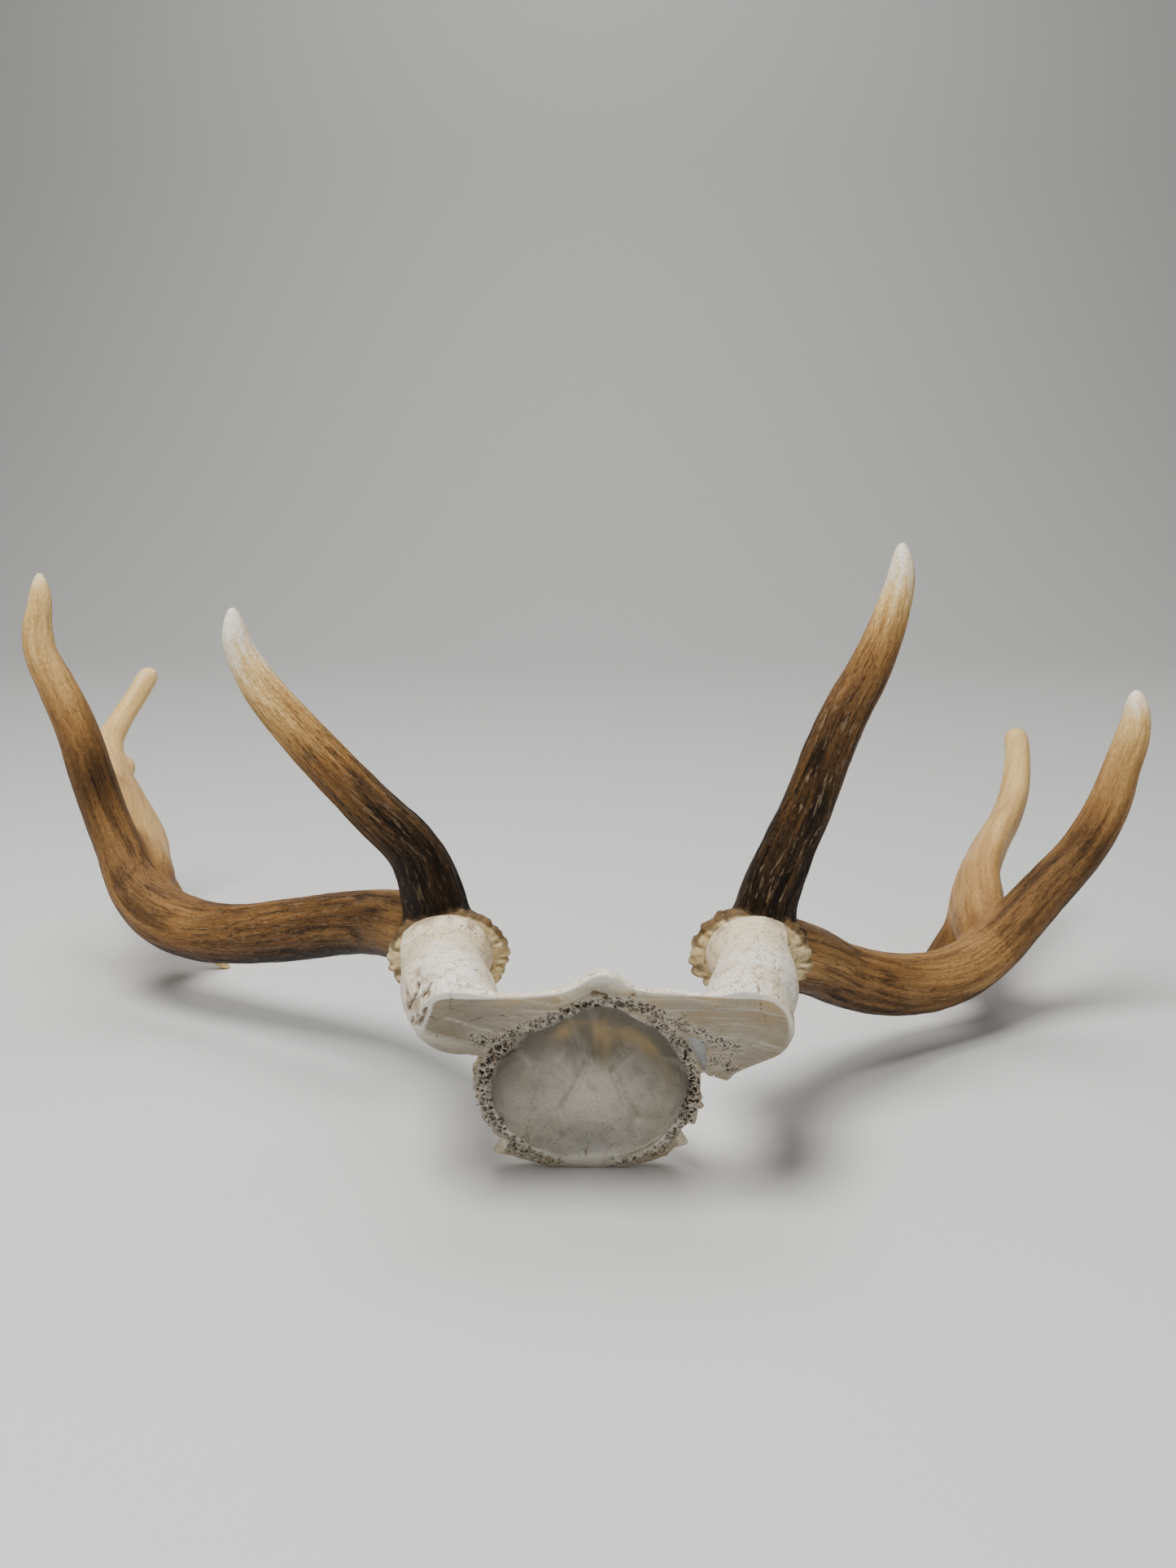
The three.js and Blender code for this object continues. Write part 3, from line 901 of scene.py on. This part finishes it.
def buildSkull():
    chance = np.random.default_rng(7)
    points, quads = formSkull(chance)
    outward = normals(points, quads)
    x, y, z = points.T
    flat = outlineDistance(x, z, plateEdge)
    mouth = outlineDistance(x, z, mouthEdge)
    level = sawnLevel(x, flat)
    isHollow = ramp(1.5 - np.abs(hollowDistance(x, y, z, mouth)), 0, 0.5)
    isHollow *= ramp(y - level, 0.2, 1.0)
    isCut = ramp(-outward[:, 1], 0.45, 0.65) * ramp(1.5 - np.abs(y - level), 0, 0.8)
    lip = ramp(2.4 - np.abs(mouth), 0, 0.8) * ramp(2.4 - y + level, 0, 1)
    mouthGap = mouth + 0.7 * noise(points, 1.6, 38)
    isHollow = np.maximum(isHollow, 0.9 * lip * ramp(1.7 - mouthGap, 0, 0.8))
    isCut = np.maximum(isCut, lip) * (1 - isHollow)
    outside = (1 - isHollow) * (1 - isCut)
    sill = bell((x - 2) / 8.5) * ramp(10 - z, 0, 5) * ramp(7 - y, 0, 4)

    onFace = points[:, [0, 2]]
    facet = ramp(0.8 - outlineDistance(x, z, skull["facet"]), 0, 1.2) * np.maximum(isCut, lip)
    # painted highlights on the stair-step ridges of the sawn face's layers
    ridge = np.zeros(len(points))
    for path in skull["ridges"]:
        ridge = np.maximum(ridge, bell(pathDistance(onFace, path) / 0.55))
    ridge *= isCut * ramp(noise(points, 5, 19), -0.7, 0.1)
    spongy = np.zeros(len(points))
    for path, half, rate in skull["sponge"]:
        far = pathDistance(onFace, path)
        spongy = np.maximum(spongy, ramp(half * 1.7 - far, 0, half * 1.2) * min(1, rate / 12))
    openFace = ramp(4.5 + level - y, 0, 1.5) * (1 - isHollow * ramp(y - level, 1.0, 2.4))
    spongy *= openFace * (1 - sill) * (1 - facet)
    # Relief: soft swellings, crest and fans in the hollow, slow unevenness and a suture outside
    swell = noise(points, 13, 11) * 1.5 + noise(points, (7, 7, 9), 12) * 0.8
    swell += noise(points, (3.2, 3.2, 4), 16) * 0.22
    middle = x - 1.0 - 0.045 * z
    crest = bell(middle / 2.4) * ramp(z, 20, 34) * ramp(72 - z, 0, 16)
    fans = np.zeros(len(points))
    pixels, depth = toPixels(points @ lean.T)
    awayFrom = lambda path, shift=0: pathDistance(points + shift, layOn(path, points, pixels, depth))
    for path in skull["fans"]:
        fans = np.maximum(fans, bell(awayFrom(path) / 1.5))
    humpGap = awayFrom(skull["hump"][0])
    hump = bell(humpGap / skull["hump"][1])
    dent = bell(awayFrom(skull["dent"]) / 1.5)
    ring = bell((humpGap - skull["hump"][1] - 1.5) / 1.2)
    push = isHollow * (swell + 1.3 * crest + 1.8 * fans + 2.2 * hump - 0.3 * ring - 1.5 * dent)
    push += outside * (noise(points, 9, 13) * 0.4 + noise(points, 3.2, 14) * 0.16)
    seam = np.abs(middle + 0.5 * noise(points, 2.2, 15))
    push -= outside * ramp(y, 8, 14) * 0.4 * bell(seam / 0.55)

    wander = np.stack([noise(points, 1.9, 20 + k) for k in range(3)], axis=1) * 0.9
    crackGap = np.min([awayFrom(path, wander) for path in skull["cracks"]], axis=0)
    gougeGap = np.min([awayFrom(path, wander * 0.7) for path in skull["gouges"]], axis=0)
    push -= 0.25 * bell(crackGap / 0.4) + 1.2 * bell(gougeGap / 0.8)
    smudge = bell(pathDistance(onFace, skull["smudge"]) / 1.9) * ramp(7 - y, 0, 3)
    stain = 0.6 * smudge * ramp(noise(points, 1.4, 34), -0.6, 0.4)
    broken = ramp(-x, 50, 56) * ramp(z, 68, 72) * ramp(20 - y, 0, 8) * outside
    push -= broken * (0.5 + 0.9 * np.abs(noise(points, (2.6, 4, 2.6), 17)))
    push -= 0.55 * spongy * np.abs(noise(points, 1.3, 18)) * (1 - isHollow)
    push -= 1.1 * facet
    moved = points + outward * push[:, None]
    moved[:, 1] = np.maximum(moved[:, 1], 0)

    # painted shade in the depths of the cut pores, below the sawn level
    buried = ramp(y - level, 0.5, 1.3) * spongy * ramp(3.2 - np.abs(flat), -30, 0)
    buried *= ramp(4 - flat, 0, 2) + (z < 62)
    speckled = isHollow * (0.26 * ramp(44 - z, 0, 22) + 0.08)

    top = np.minimum(seatGap(points, "left"), seatGap(points, "right"))
    blotch = noise(points, (2.2, 3.5, 2.2), 33)
    bearing = np.arctan2(x - 2, z - 14)
    outwards = np.hypot(x - 2, z - 14)
    ray = 0.65 * noise(np.stack([bearing * 9, outwards / 22, y / 30], axis=1), 1, 35)
    ray += 0.5 * noise(np.stack([bearing * 24, outwards / 16, y / 30], axis=1), 1, 36)
    grime = 0.75 * ramp(7 - top, 0, 6) * ramp(blotch, -0.1, 0.5)
    grime = outside * (grime + broken * ramp(blotch, 0.0, 0.6))
    aged = 0.7 * ramp(36 - top, 0, 28) + 0.3 * blotch * ramp(40 - top, 0, 10)

    # painted glow: warm patches where thin bone of the hollow lets light through
    warmGlow = np.zeros(len(points))
    for centre, spread, strength in skull["warmGlow"]:
        warmGlow += strength * blob(points, centre, spread)
    warmGlow = np.clip(warmGlow * (1.0 + 0.4 * noise(points, (4, 4, 6), 31)), 0, 1) * isHollow
    # painted shade: the hollow darker towards the front of the skull, its upper part as seen, and along
    # the midline there
    deep = ramp(z, 18, 47) + 0.6 * bell((x - 3) / 10) * ramp(z, 24, 34)
    deep = np.clip(deep + 0.1 * hump, 0, 1)
    # painted light: the lower middle of the hollow paler where it faces up towards the light
    pale = isHollow * 0.9 * bell((x - 2.5) / 15) * ramp(28 - z, 0, 14) * (1 - 0.35 * hump)
    # painted shade: the sawn face darker towards the end of its left wing
    leftWingShade = 0.85 * ramp(-x, 18, 40) * (0.8 + 0.5 * noise(points, (6, 6, 3), 37))

    layers = {
        "place": points,
        "sheet": np.stack([x, np.interp(x, *frontEdge) - z, y], axis=1),
        "cut": isCut,
        "hollow": np.maximum(isHollow, 0.9 * sill * isCut),
        "facet": facet,
        "ray": ray * ramp(outwards, 4, 14),
        "blue": isHollow * 0.4 * hump,
        # painted highlights on the stair-step ridges
        "ridge": np.clip(0.85 * ridge, 0, 1),
        "leftWingShade": isCut * np.clip(leftWingShade, 0, 1),
        "crackGap": np.minimum(crackGap, 3),
        "gougeGap": np.minimum(gougeGap, 3),
        "stain": stain,
        "spongy": np.maximum(spongy, speckled),
        "warmGlow": warmGlow,
        "deep": deep,
        # partly the ivory outer layer at the saw edge, partly a painted highlight along that edge, lit
        # from above
        "rim": isCut * ramp(1.5 + flat, 0, 1.0) * ramp(z, 62, 80),
        "pitShade": np.clip(buried, 0, 0.8),
        "pale": pale,
        "grime": np.clip(grime, 0, 0.8),
        "aged": np.clip(outside * aged, 0, 0.85),
    }
    makePiece("skull", moved @ lean.T, quads, layers, ["skull_cap"], boneSkin)


buildSkull()

# Antlers: stations [x, y, z, radius] from the occiput, tip last, with a second radius on the palms
# Beam and trez run on as one stem; tones go from 0, dark, to 1, ivory, along each branch

burr = {
    "profile": [(0, 0), (17, 0), (20.2, 1.0), (21.8, 3.4), (20.6, 6.4), (17, 9.4), (14.4, 13), (0, 13)],
    "oval": 0.81,
    "inset": (1.6, -2.6),
    "gap": 0.3,
    "lobes": 37,
    "lobeReach": 20.3,
    "lobeHeight": (3.0, 4.6),
    "pearlReach": (17.4, 20.8),
    "pearlAside": (-2, 2),
    "pearlHeight": (5.8, 9.6),
    "pearlRadius": (1.1, 2.6),
}
antlers = {
    "left": {
        "beam": [
            (-67, 51, 73.5, 14.2), (-85, 73, 69.2, 13.6), (-102, 88, 64, 13.5),
            (-133, 108, 54, 14), (-158, 122, 47.5, 13.5), (-181, 134, 44.8, 14),
            (-203, 145, 48.8, 14.2), (-217.5, 153, 60, 12.8),
        ],
        "brow": [
            (-57, 35, 80, 12.5), (-58, 35, 90, 12.2), (-64.5, 35.5, 109, 10.3),
            (-82.5, 37, 128, 9.5), (-104, 38, 151.5, 8.5), (-120, 38.5, 171.5, 7.3),
            (-127.4, 37.6, 187, 5.3), (-128.6, 37.3, 200.3, 3.8),
        ],
        "trez": [
            (-227.5, 161, 77, 11),
            (-234.5, 165, 93, 10.4), (-240.3, 167, 113, 10.3), (-246, 167.7, 135.5, 9.6),
            (-254, 168, 156.3, 8.7), (-260, 169, 170.2, 7.5), (-261.5, 170.3, 181.3, 6.8),
            (-260, 172.5, 195, 5.3), (-260, 175, 208, 4),
        ],
        "palm": [
            (-209, 151.5, 56, 5, 5), (-212.5, 162, 61.5, 11, 9.5), (-223.5, 182, 70, 17.5, 9),
            (-235.5, 207, 80.5, 21.5, 8.3), (-252.5, 234, 91, 17, 7.6),
            (-267.5, 257, 102.5, 10.5, 6.8), (-271.5, 268, 112, 7.6, 6.5),
            (-268.8, 280, 122.5, 6.2, 6.2), (-264.2, 293, 134, 5.9, 5.9),
            (-260.5, 300.5, 142.6, 5.9, 5.8), (-258.3, 303, 146.4, 5.7, 5.5),
        ],
        "palmUp": (-0.5, -0.15, 0.85),
        "rear": [
            (-224.5, 181, 64, 10), (-217, 191, 42, 8.5), (-208, 199, 20, 6.5),
            (-190.5, 202, -1.5, 3.4),
        ],
        "knob": [(-264, 250, 93, 7.5), (-262.5, 258, 96, 6.5), (-260.5, 266, 100, 5)],
        "tones": {
            "beam": [(0, 0.42), (0.12, 0.49), (0.4, 0.36), (0.6, 0.40), (0.8, 0.44), (1, 0.44)],
            "brow": [
                (0, 0.03), (0.2, 0.09), (0.36, 0.29), (0.5, 0.41), (0.62, 0.58), (0.78, 0.77),
                (0.92, 0.95), (1, 1),
            ],
            "trez": [
                (0, 0.42), (0.2, 0.42), (0.34, 0.37), (0.5, 0.46), (0.64, 0.63), (0.8, 0.745),
                (0.93, 0.79), (1, 0.85),
            ],
            "palm": [(0, 0.46), (0.2, 0.70), (0.6, 0.77), (0.85, 0.79), (1, 0.86)],
            "rear": [(0, 0.58), (0.6, 0.66), (1, 0.85)],
            "knob": [(0, 0.7), (1, 0.8)],
        },
        "nodes": ["left_beam", "left_brow_tine", "left_trez_tine", "left_palm"],
        "seed": 40,
        "lobeSize": 0.5,
        "shadows": [((-235.7, 156.8, 116), (7, 9, 13), 0.14), ((-209.8, 161.7, 63.7), (4, 4, 4), 0.2)],
        "browFlecks": [0.15, 0.25, 0.4, 0.35, 0.0],
    },
    "right": {
        "beam": [
            (77.5, 46.5, 65.5, 14.3), (92, 62.5, 56, 14), (105.3, 73.5, 46.5, 13.6),
            (123.6, 86.6, 37.3, 13.7), (139, 97, 32.4, 13.4), (156, 105.8, 30.8, 13.1),
            (172, 114.3, 33.6, 12.7), (187, 122, 41.2, 12),
        ],
        "brow": [
            (66.5, 34, 80, 12.2), (67.5, 34, 90, 11.7), (74.7, 35.6, 110, 10.3),
            (81.7, 37, 126.3, 9.7), (89.4, 38.5, 148, 9.2), (95.6, 39.6, 162.8, 8.7),
            (102, 40.2, 175.1, 8.1), (107.4, 40.2, 188.5, 7.1), (110.7, 40.2, 199.4, 6.2),
            (113.2, 40.5, 210.2, 5.1), (113.2, 41, 223.2, 3.8),
        ],
        "trez": [
            (199, 126.6, 52.6, 11.6),
            (213, 129.8, 67.6, 10.8), (225, 130.8, 81.7, 10.1), (232.7, 130.7, 95.3, 9.7),
            (237.6, 130.4, 108.3, 9.1), (241, 130.4, 122.3, 8.1), (244.8, 131, 136, 7.4),
            (246.2, 131.6, 147, 5.8), (245.5, 132.5, 157.2, 4.6),
        ],
        "palm": [
            (181, 119.5, 38.5, 5, 5), (182.5, 130, 44.5, 12, 10), (186, 146, 50, 15.5, 10.2),
            (191, 166, 57, 17.5, 9.4), (204, 190, 67, 16.5, 8.6), (220.5, 214, 78.5, 13, 7.8),
            (231.5, 233, 90.5, 9, 7.2), (236.7, 246, 106, 6.6, 6.6), (237.1, 250.6, 114, 6.5, 6.2),
            (236.8, 252.2, 118.6, 6.2, 5.8),
        ],
        "palmUp": (0.35, -0.2, 0.9),
        "rear": [
            (193, 160, 52, 9.5), (184, 158, 38, 8.5), (170, 153.5, 20, 6.8), (154, 147, -1.5, 3.6),
        ],
        "tones": {
            "beam": [(0, 0.48), (0.12, 0.56), (0.5, 0.52), (0.8, 0.55), (1, 0.53)],
            "brow": [
                (0, 0.09), (0.1, 0.14), (0.3, 0.21), (0.5, 0.30), (0.64, 0.43), (0.74, 0.58),
                (0.84, 0.78), (0.93, 0.95), (1, 1),
            ],
            "trez": [
                (0, 0.48), (0.25, 0.40), (0.45, 0.37), (0.64, 0.58), (0.8, 0.69), (0.9, 0.78),
                (0.96, 0.92), (1, 1),
            ],
            "palm": [(0, 0.48), (0.2, 0.64), (0.6, 0.72), (0.85, 0.76), (1, 0.82)],
            "rear": [(0, 0.46), (0.5, 0.36), (1, 0.7)],
        },
        "nodes": ["right_beam", "right_brow_tine", "right_trez_tine", "right_palm"],
        "seed": 60,
        "lobeSize": 1.0,
        "shadows": [((226.3, 122.2, 94.4), (7, 7, 12), 0.06), ((176.4, 142.8, 47.1), (4, 4, 4), 0.2)],
        "browFlecks": [0.2, 0.5, 0.65, 0.6, 0.0],
    },
}
roughness = {
    "beam": [(0, 0.9), (0.7, 0.75), (1, 0.55)],
    "brow": [(0, 1.1), (0.4, 0.95), (0.7, 0.5), (1, 0.1)],
    "trez": [(0, 0.6), (0.6, 0.4), (1, 0.1)],
    "palm": [(0, 0.45), (1, 0.2)],
    "rear": [(0, 0.4), (1, 0.15)],
    "knob": [(0, 0.3), (1, 0.2)],
}
# Pale flecks: places along the brow tine, and places with strengths along the beam
browFleckPlaces = [0, 0.1, 0.35, 0.6, 0.8]
beamFleckRun = [(0, 0.3), (0.1, 0.5), (0.6, 0.4), (1, 0.2), (1.3, 0.08)]
# How softly each branch joins the ones before it
blends = {"stem": 0.1, "brow": 5, "palm": 5, "rear": 6, "knob": 4}
antlerPitch = 0.76
# How strongly the grain shows on each branch
grainShow = {"stem": 0.8, "brow": 1.0, "palm": 0.5, "rear": 0.6, "knob": 0.5}


# Two runs of values along a branch, end to end
def joinRuns(first, second, share):
    return [(p * share, v) for p, v in first] + [(share + p * (1 - share), v) for p, v in second]


def burrSeat(side):
    made = pedicleBranch(side)
    along = lean @ made["along"][-1]
    base = lean @ made["centre"][-1] + along * burr["gap"]
    inset = np.array([-np.sign(base[0]) * burr["inset"][0], 0, burr["inset"][1]])
    base = base + inset - along * (inset @ along)
    across = unit(np.cross(along, (0, 0, 1)))
    return base, along, across, np.cross(across, along)


# The collar: a turned profile with lobes around its edge and a second row of pearls above
def addBurr(field, side, chance):
    base, along, across, up = burrSeat(side)
    box, x, y, z = field.window(base - 32, base + 32)
    x, y, z = x - base[0], y - base[1], z - base[2]
    height, wide, tall = (dot(x, y, z, v) for v in (along, across, up))
    tall = tall / burr["oval"]
    radial = np.sqrt(wide * wide + tall * tall)
    collar = outlineDistance(radial, height, burr["profile"])
    bold = antlers[side]["lobeSize"]
    turn = 0.0
    for _ in range(burr["lobes"]):
        turn += 2 * math.pi / burr["lobes"] * chance.uniform(0.6, 1.4)
        c, s = math.cos(turn), math.sin(turn)
        out = wide * c + tall * s
        beside = tall * c - wide * s
        reach = burr["lobeReach"] + bold * chance.uniform(-0.8, 0.8)
        centre = (reach, 0, chance.uniform(*burr["lobeHeight"]))
        radii = (2.4 + 1.2 * bold * chance.random(), chance.uniform(1.6, 2.6), chance.uniform(2.4, 3.2))
        collar = smoothMin(collar, eggDistance(out, beside, height, centre, radii), 1.7 - 0.8 * bold)
        for _ in range(2):
            centre = [chance.uniform(*burr[key]) for key in ("pearlReach", "pearlAside", "pearlHeight")]
            pearl = chance.uniform(*burr["pearlRadius"])
            radii = (pearl, pearl, pearl * 0.9)
            collar = smoothMin(collar, eggDistance(out, beside, height, centre, radii), 0.7)
    field.values[box] = smoothMin(field.values[box], collar.astype(np.float32), 2.0)


# Which centre is nearest to each point, a block of points at a time
def nearest(points, centres, block=8000):
    near = np.empty(len(points), int)
    for first in range(0, len(points), block):
        part = points[first : first + block]
        spread = (part**2).sum(1)[:, None] - 2 * part @ centres.T + (centres**2).sum(1)
        near[first : first + block] = spread.argmin(1)
    return near


def buildAntler(side):
    plan = antlers[side]
    chance = np.random.default_rng(plan["seed"])
    base, along, across, up = burrSeat(side)
    start = [(*(base + along * h), r) for h, r in ((2, 14.5), (12, 14.6))]
    stemUp = (-0.6 * np.sign(base[0]), 0.8, 0)
    made = {
        "stem": branch(start + plan["beam"] + plan["trez"], stemUp),
        "brow": branch(plan["brow"], (0, 1, 0)),
        "palm": branch(plan["palm"], plan["palmUp"]),
        "rear": branch(plan["rear"], (0, 1, 0)),
    }
    if "knob" in plan:
        made["knob"] = branch(plan["knob"], (0, 0, 1))
    low = np.min([m["centre"].min(0) - m["girth"].max() for m in made.values()], axis=0) - 10
    high = np.max([m["centre"].max(0) + m["girth"].max() for m in made.values()], axis=0) + 10
    stem = made["stem"]
    fork = np.linalg.norm(stem["centre"] - plan["beam"][-1][:3], axis=1).argmin()
    share = stem["at"][fork] / stem["at"][-1]
    tonesOf = {**plan["tones"], "stem": joinRuns(plan["tones"]["beam"], plan["tones"]["trez"], share)}
    roughOf = {**roughness, "stem": joinRuns(roughness["beam"], roughness["trez"], share)}
    field = Field(low, high, antlerPitch)
    for name, piece in made.items():
        addBranch(field, piece, blends[name])
    addBurr(field, side, chance)
    box, x, y, z = field.window(base - 34, base + 34)
    above = dot(x - base[0], y - base[1], z - base[2], along)
    field.values[box] = np.maximum(field.values[box], -above)
    _, x, y, z = field.whole()
    field.values = np.maximum(field.values, -z).astype(np.float32)
    points, quads = field.skin()
    outward = normals(points, quads)
    print(side, "antler formed")

    # Each branch lays its own grain; near a fork the branches share by distance
    shares, grains, reaches = [], [], []
    tones, rough, heights, gutters = [], [], [], []
    for k, (name, piece) in enumerate(made.items()):
        near = nearest(points, piece["centre"])
        offset = points - piece["centre"][near]
        u = (offset * piece["up"][near]).sum(1)
        s = (offset * piece["side"][near]).sum(1)
        a = (offset * piece["along"][near]).sum(1)
        girth = np.maximum(piece["girth"][near], 2.0)
        tallGirth, wideGirth = girth.T
        reachSquared = (u / tallGirth) ** 2 + (s / wideGirth) ** 2 + (a / wideGirth) ** 2
        away = (np.sqrt(reachSquared) - 1) * wideGirth
        shares.append(np.exp(-np.clip(away, -2, 40) / 1.6))
        if name == "brow":
            clear = away
        turn = np.arctan2(s, u)
        mean = girth.mean(1)
        run = piece["at"][near] + a
        part = run / piece["at"][-1]
        grain = np.stack([np.cos(turn) * mean + 90 * k, np.sin(turn) * mean, run], axis=1)
        seed = plan["seed"] + 7 * k
        broad = noise(grain, (8, 8, 60), seed)
        ridge = noise(grain, (3.6, 3.6, 42), seed + 1)
        pearl = noise(grain, (3.0, 3.0, 4.5), seed + 2)
        gutter = bell(ridge / 0.16) * ramp(noise(grain, (6, 6, 16), seed + 3), -0.5, 0.3)
        heights.append(0.55 * broad + 0.42 * ridge - 0.42 * gutter + 0.22 * pearl)
        gutters.append(gutter)
        uneven = 0.05 * noise(grain, (11, 11, 26), seed + 4)
        tones.append(np.interp(part, *zip(*tonesOf[name])) + uneven)
        rough.append(np.interp(part, *zip(*roughOf[name])))
        grains.append(grain)
        reaches.append(part)
    shares = np.array(shares)
    shares /= shares.sum(0)
    blendIn = lambda rows: (shares * np.array(rows)).sum(0)
    strongest = shares.argmax(0)
    grain = np.array(grains)[strongest, np.arange(len(points))]
    calm = ramp(shares.max(0), 0.55, 0.85)
    coarse = blendIn(rough)
    push = 0.8 * coarse * blendIn(heights)

    offset = points - base
    height = offset @ along
    wide = offset @ across
    tall = offset @ up / burr["oval"]
    radial = np.hypot(wide, tall)
    collar = ramp(3.4 - outlineDistance(radial, height, burr["profile"]), 0, 1.2)
    collar *= np.maximum(ramp(radial, 14.6, 16.2), ramp(1.5 - height, 0, 0.8))
    collar *= ramp(clear, 0.2, 1.6) * ramp(12 - height, 0, 2)
    push *= 1 - collar
    spin = np.arctan2(tall, wide)
    around = np.stack([np.cos(spin) * 20, np.sin(spin) * 20, radial * 0.25], axis=1)
    flutes = noise(around, (1.5, 1.5, 4), 81)
    under = collar * ramp(-(outward @ along), -0.45, 0.15)
    brownTop = 0.9 * ramp(radial, 20.2, 21.4) * ramp(tall, 2, 9)
    under *= 1 - brownTop - 0.5 * ramp(radial, 21, 22.6) * ramp(5 - tall, 0, 8)
    push += under * 0.75 * flutes * ramp(radial, 17.5, 20)
    moved = points + outward * push[:, None]
    moved[:, 2] = np.maximum(moved[:, 2], 0)

    tone = blendIn(tones)
    # painted shade: the beam darker where it faces down
    onBeam = shares[0] * (1 - 0.4 * ramp(reaches[0], share, 1))
    tone -= 0.32 * onBeam * ramp(-outward[:, 2], 0.15, 0.95)
    for centre, spread, strength in plan["shadows"]:
        tone -= strength * blob(points, centre, spread)
    tone = np.where(collar > 0.01, tone * (1 - collar) + 0.3 * collar, tone)
    browBase = shares[1] * np.interp(reaches[1], browFleckPlaces, plan["browFlecks"])
    beamFlecks = shares[0] * np.interp(reaches[0] / share, *zip(*beamFleckRun))
    seamDark = collar * ramp(18 - radial, 0, 1.6) * ramp(noise(points, 2, 83), -0.2, 0.5)
    grain = np.where(
        (collar > 0.5)[:, None],
        np.stack([np.cos(spin) * 22 + 700, np.sin(spin) * 22, radial * 2.5 + height * 2], axis=1),
        grain,
    )
    shown = blendIn([[grainShow[name]] for name in made])
    crevices = np.maximum(seamDark, under * ramp(-flutes, 0.25, 0.7) * ramp(radial, 16.5, 19.5))
    layers = {
        "grain": grain,
        "calm": np.maximum(calm * shown, collar),
        "coarse": np.clip(coarse * (1 - collar), 0, 1),
        "tone": np.clip(tone, 0, 1),
        "gutter": np.clip(blendIn(gutters) * coarse * (1 - collar) + crevices, 0, 1),
        "fleck": np.clip(browBase + beamFlecks, 0, 1) * (1 - collar),
        "cream": under,
    }
    makePiece(side + "Antler", moved, quads, layers, plan["nodes"], antlerSkin)


for side in antlers:
    buildAntler(side)

# Studio: a pale floor that curves up behind, soft lights, and the camera where the photograph was taken

studio = {
    "floor": (0.63, 0.625, 0.61),
    "halfWidth": 4.0,
    "front": -2.5,
    "rise": 1.6,
    "bend": 1.2,
    "wall": 3.0,
    "sensor": 36,
}


def buildFloor():
    turns = [math.pi / 2 * k / 24 for k in range(25)]
    profile = [(studio["front"], 0.0)]
    rise, bend = studio["rise"], studio["bend"]
    profile += [(rise + bend * math.sin(t), bend * (1 - math.cos(t))) for t in turns]
    profile += [(rise + bend, studio["wall"])]
    points = [(side * studio["halfWidth"], y, z) for y, z in profile for side in (-1, 1)]
    faces = [(2 * k, 2 * k + 1, 2 * k + 3, 2 * k + 2) for k in range(len(profile) - 1)]
    mesh = bpy.data.meshes.new("floor")
    mesh.from_pydata(points, [], faces)
    mesh.polygons.foreach_set("use_smooth", [True] * len(faces))
    floor = addObject("floor", mesh)
    material, tree, shader = newMaterial("floor")
    feed(tree, shader, {"Base Color": (*studio["floor"], 1), "Roughness": 0.7})
    mesh.materials.append(material)


def addLight(name, place, target, size, power):
    light = bpy.data.lights.new(name, "AREA")
    light.shape = "DISK"
    light.size = size
    light.energy = power
    lamp = addObject(name, light)
    lamp.location = place
    lamp.rotation_euler = (Vector(target) - Vector(place)).to_track_quat("-Z", "Y").to_euler()


buildFloor()
addLight("key", (-0.25, -0.45, 1.25), (0, -0.05, 0.08), 0.55, 23)
addLight("wash", (0, 1.2, 2.6), (0, 1.2, 0), 2.0, 42)
addLight("front", (0.3, -1.5, 0.7), (0, -0.1, 0.08), 0.6, 3)
world = bpy.data.worlds.new("studio")
world.use_nodes = True
sky = world.node_tree.nodes["Background"]
feed(world.node_tree, sky, {"Color": (0.80, 0.81, 0.82, 1), "Strength": 0.16})
bpy.context.scene.world = world

eye = bpy.data.cameras.new("camera")
eye.sensor_fit = "HORIZONTAL"
eye.sensor_width = studio["sensor"]
eye.lens = view["focal"] / view["frame"][0] * studio["sensor"]
eye.clip_start = 0.01
camera = addObject("camera", eye)
camera.location = (occiput + np.array(view["place"])) / 1000
camera.rotation_euler = (math.radians(90 - view["pitch"]), 0, 0)
bpy.context.scene.camera = camera
print("studio ready")
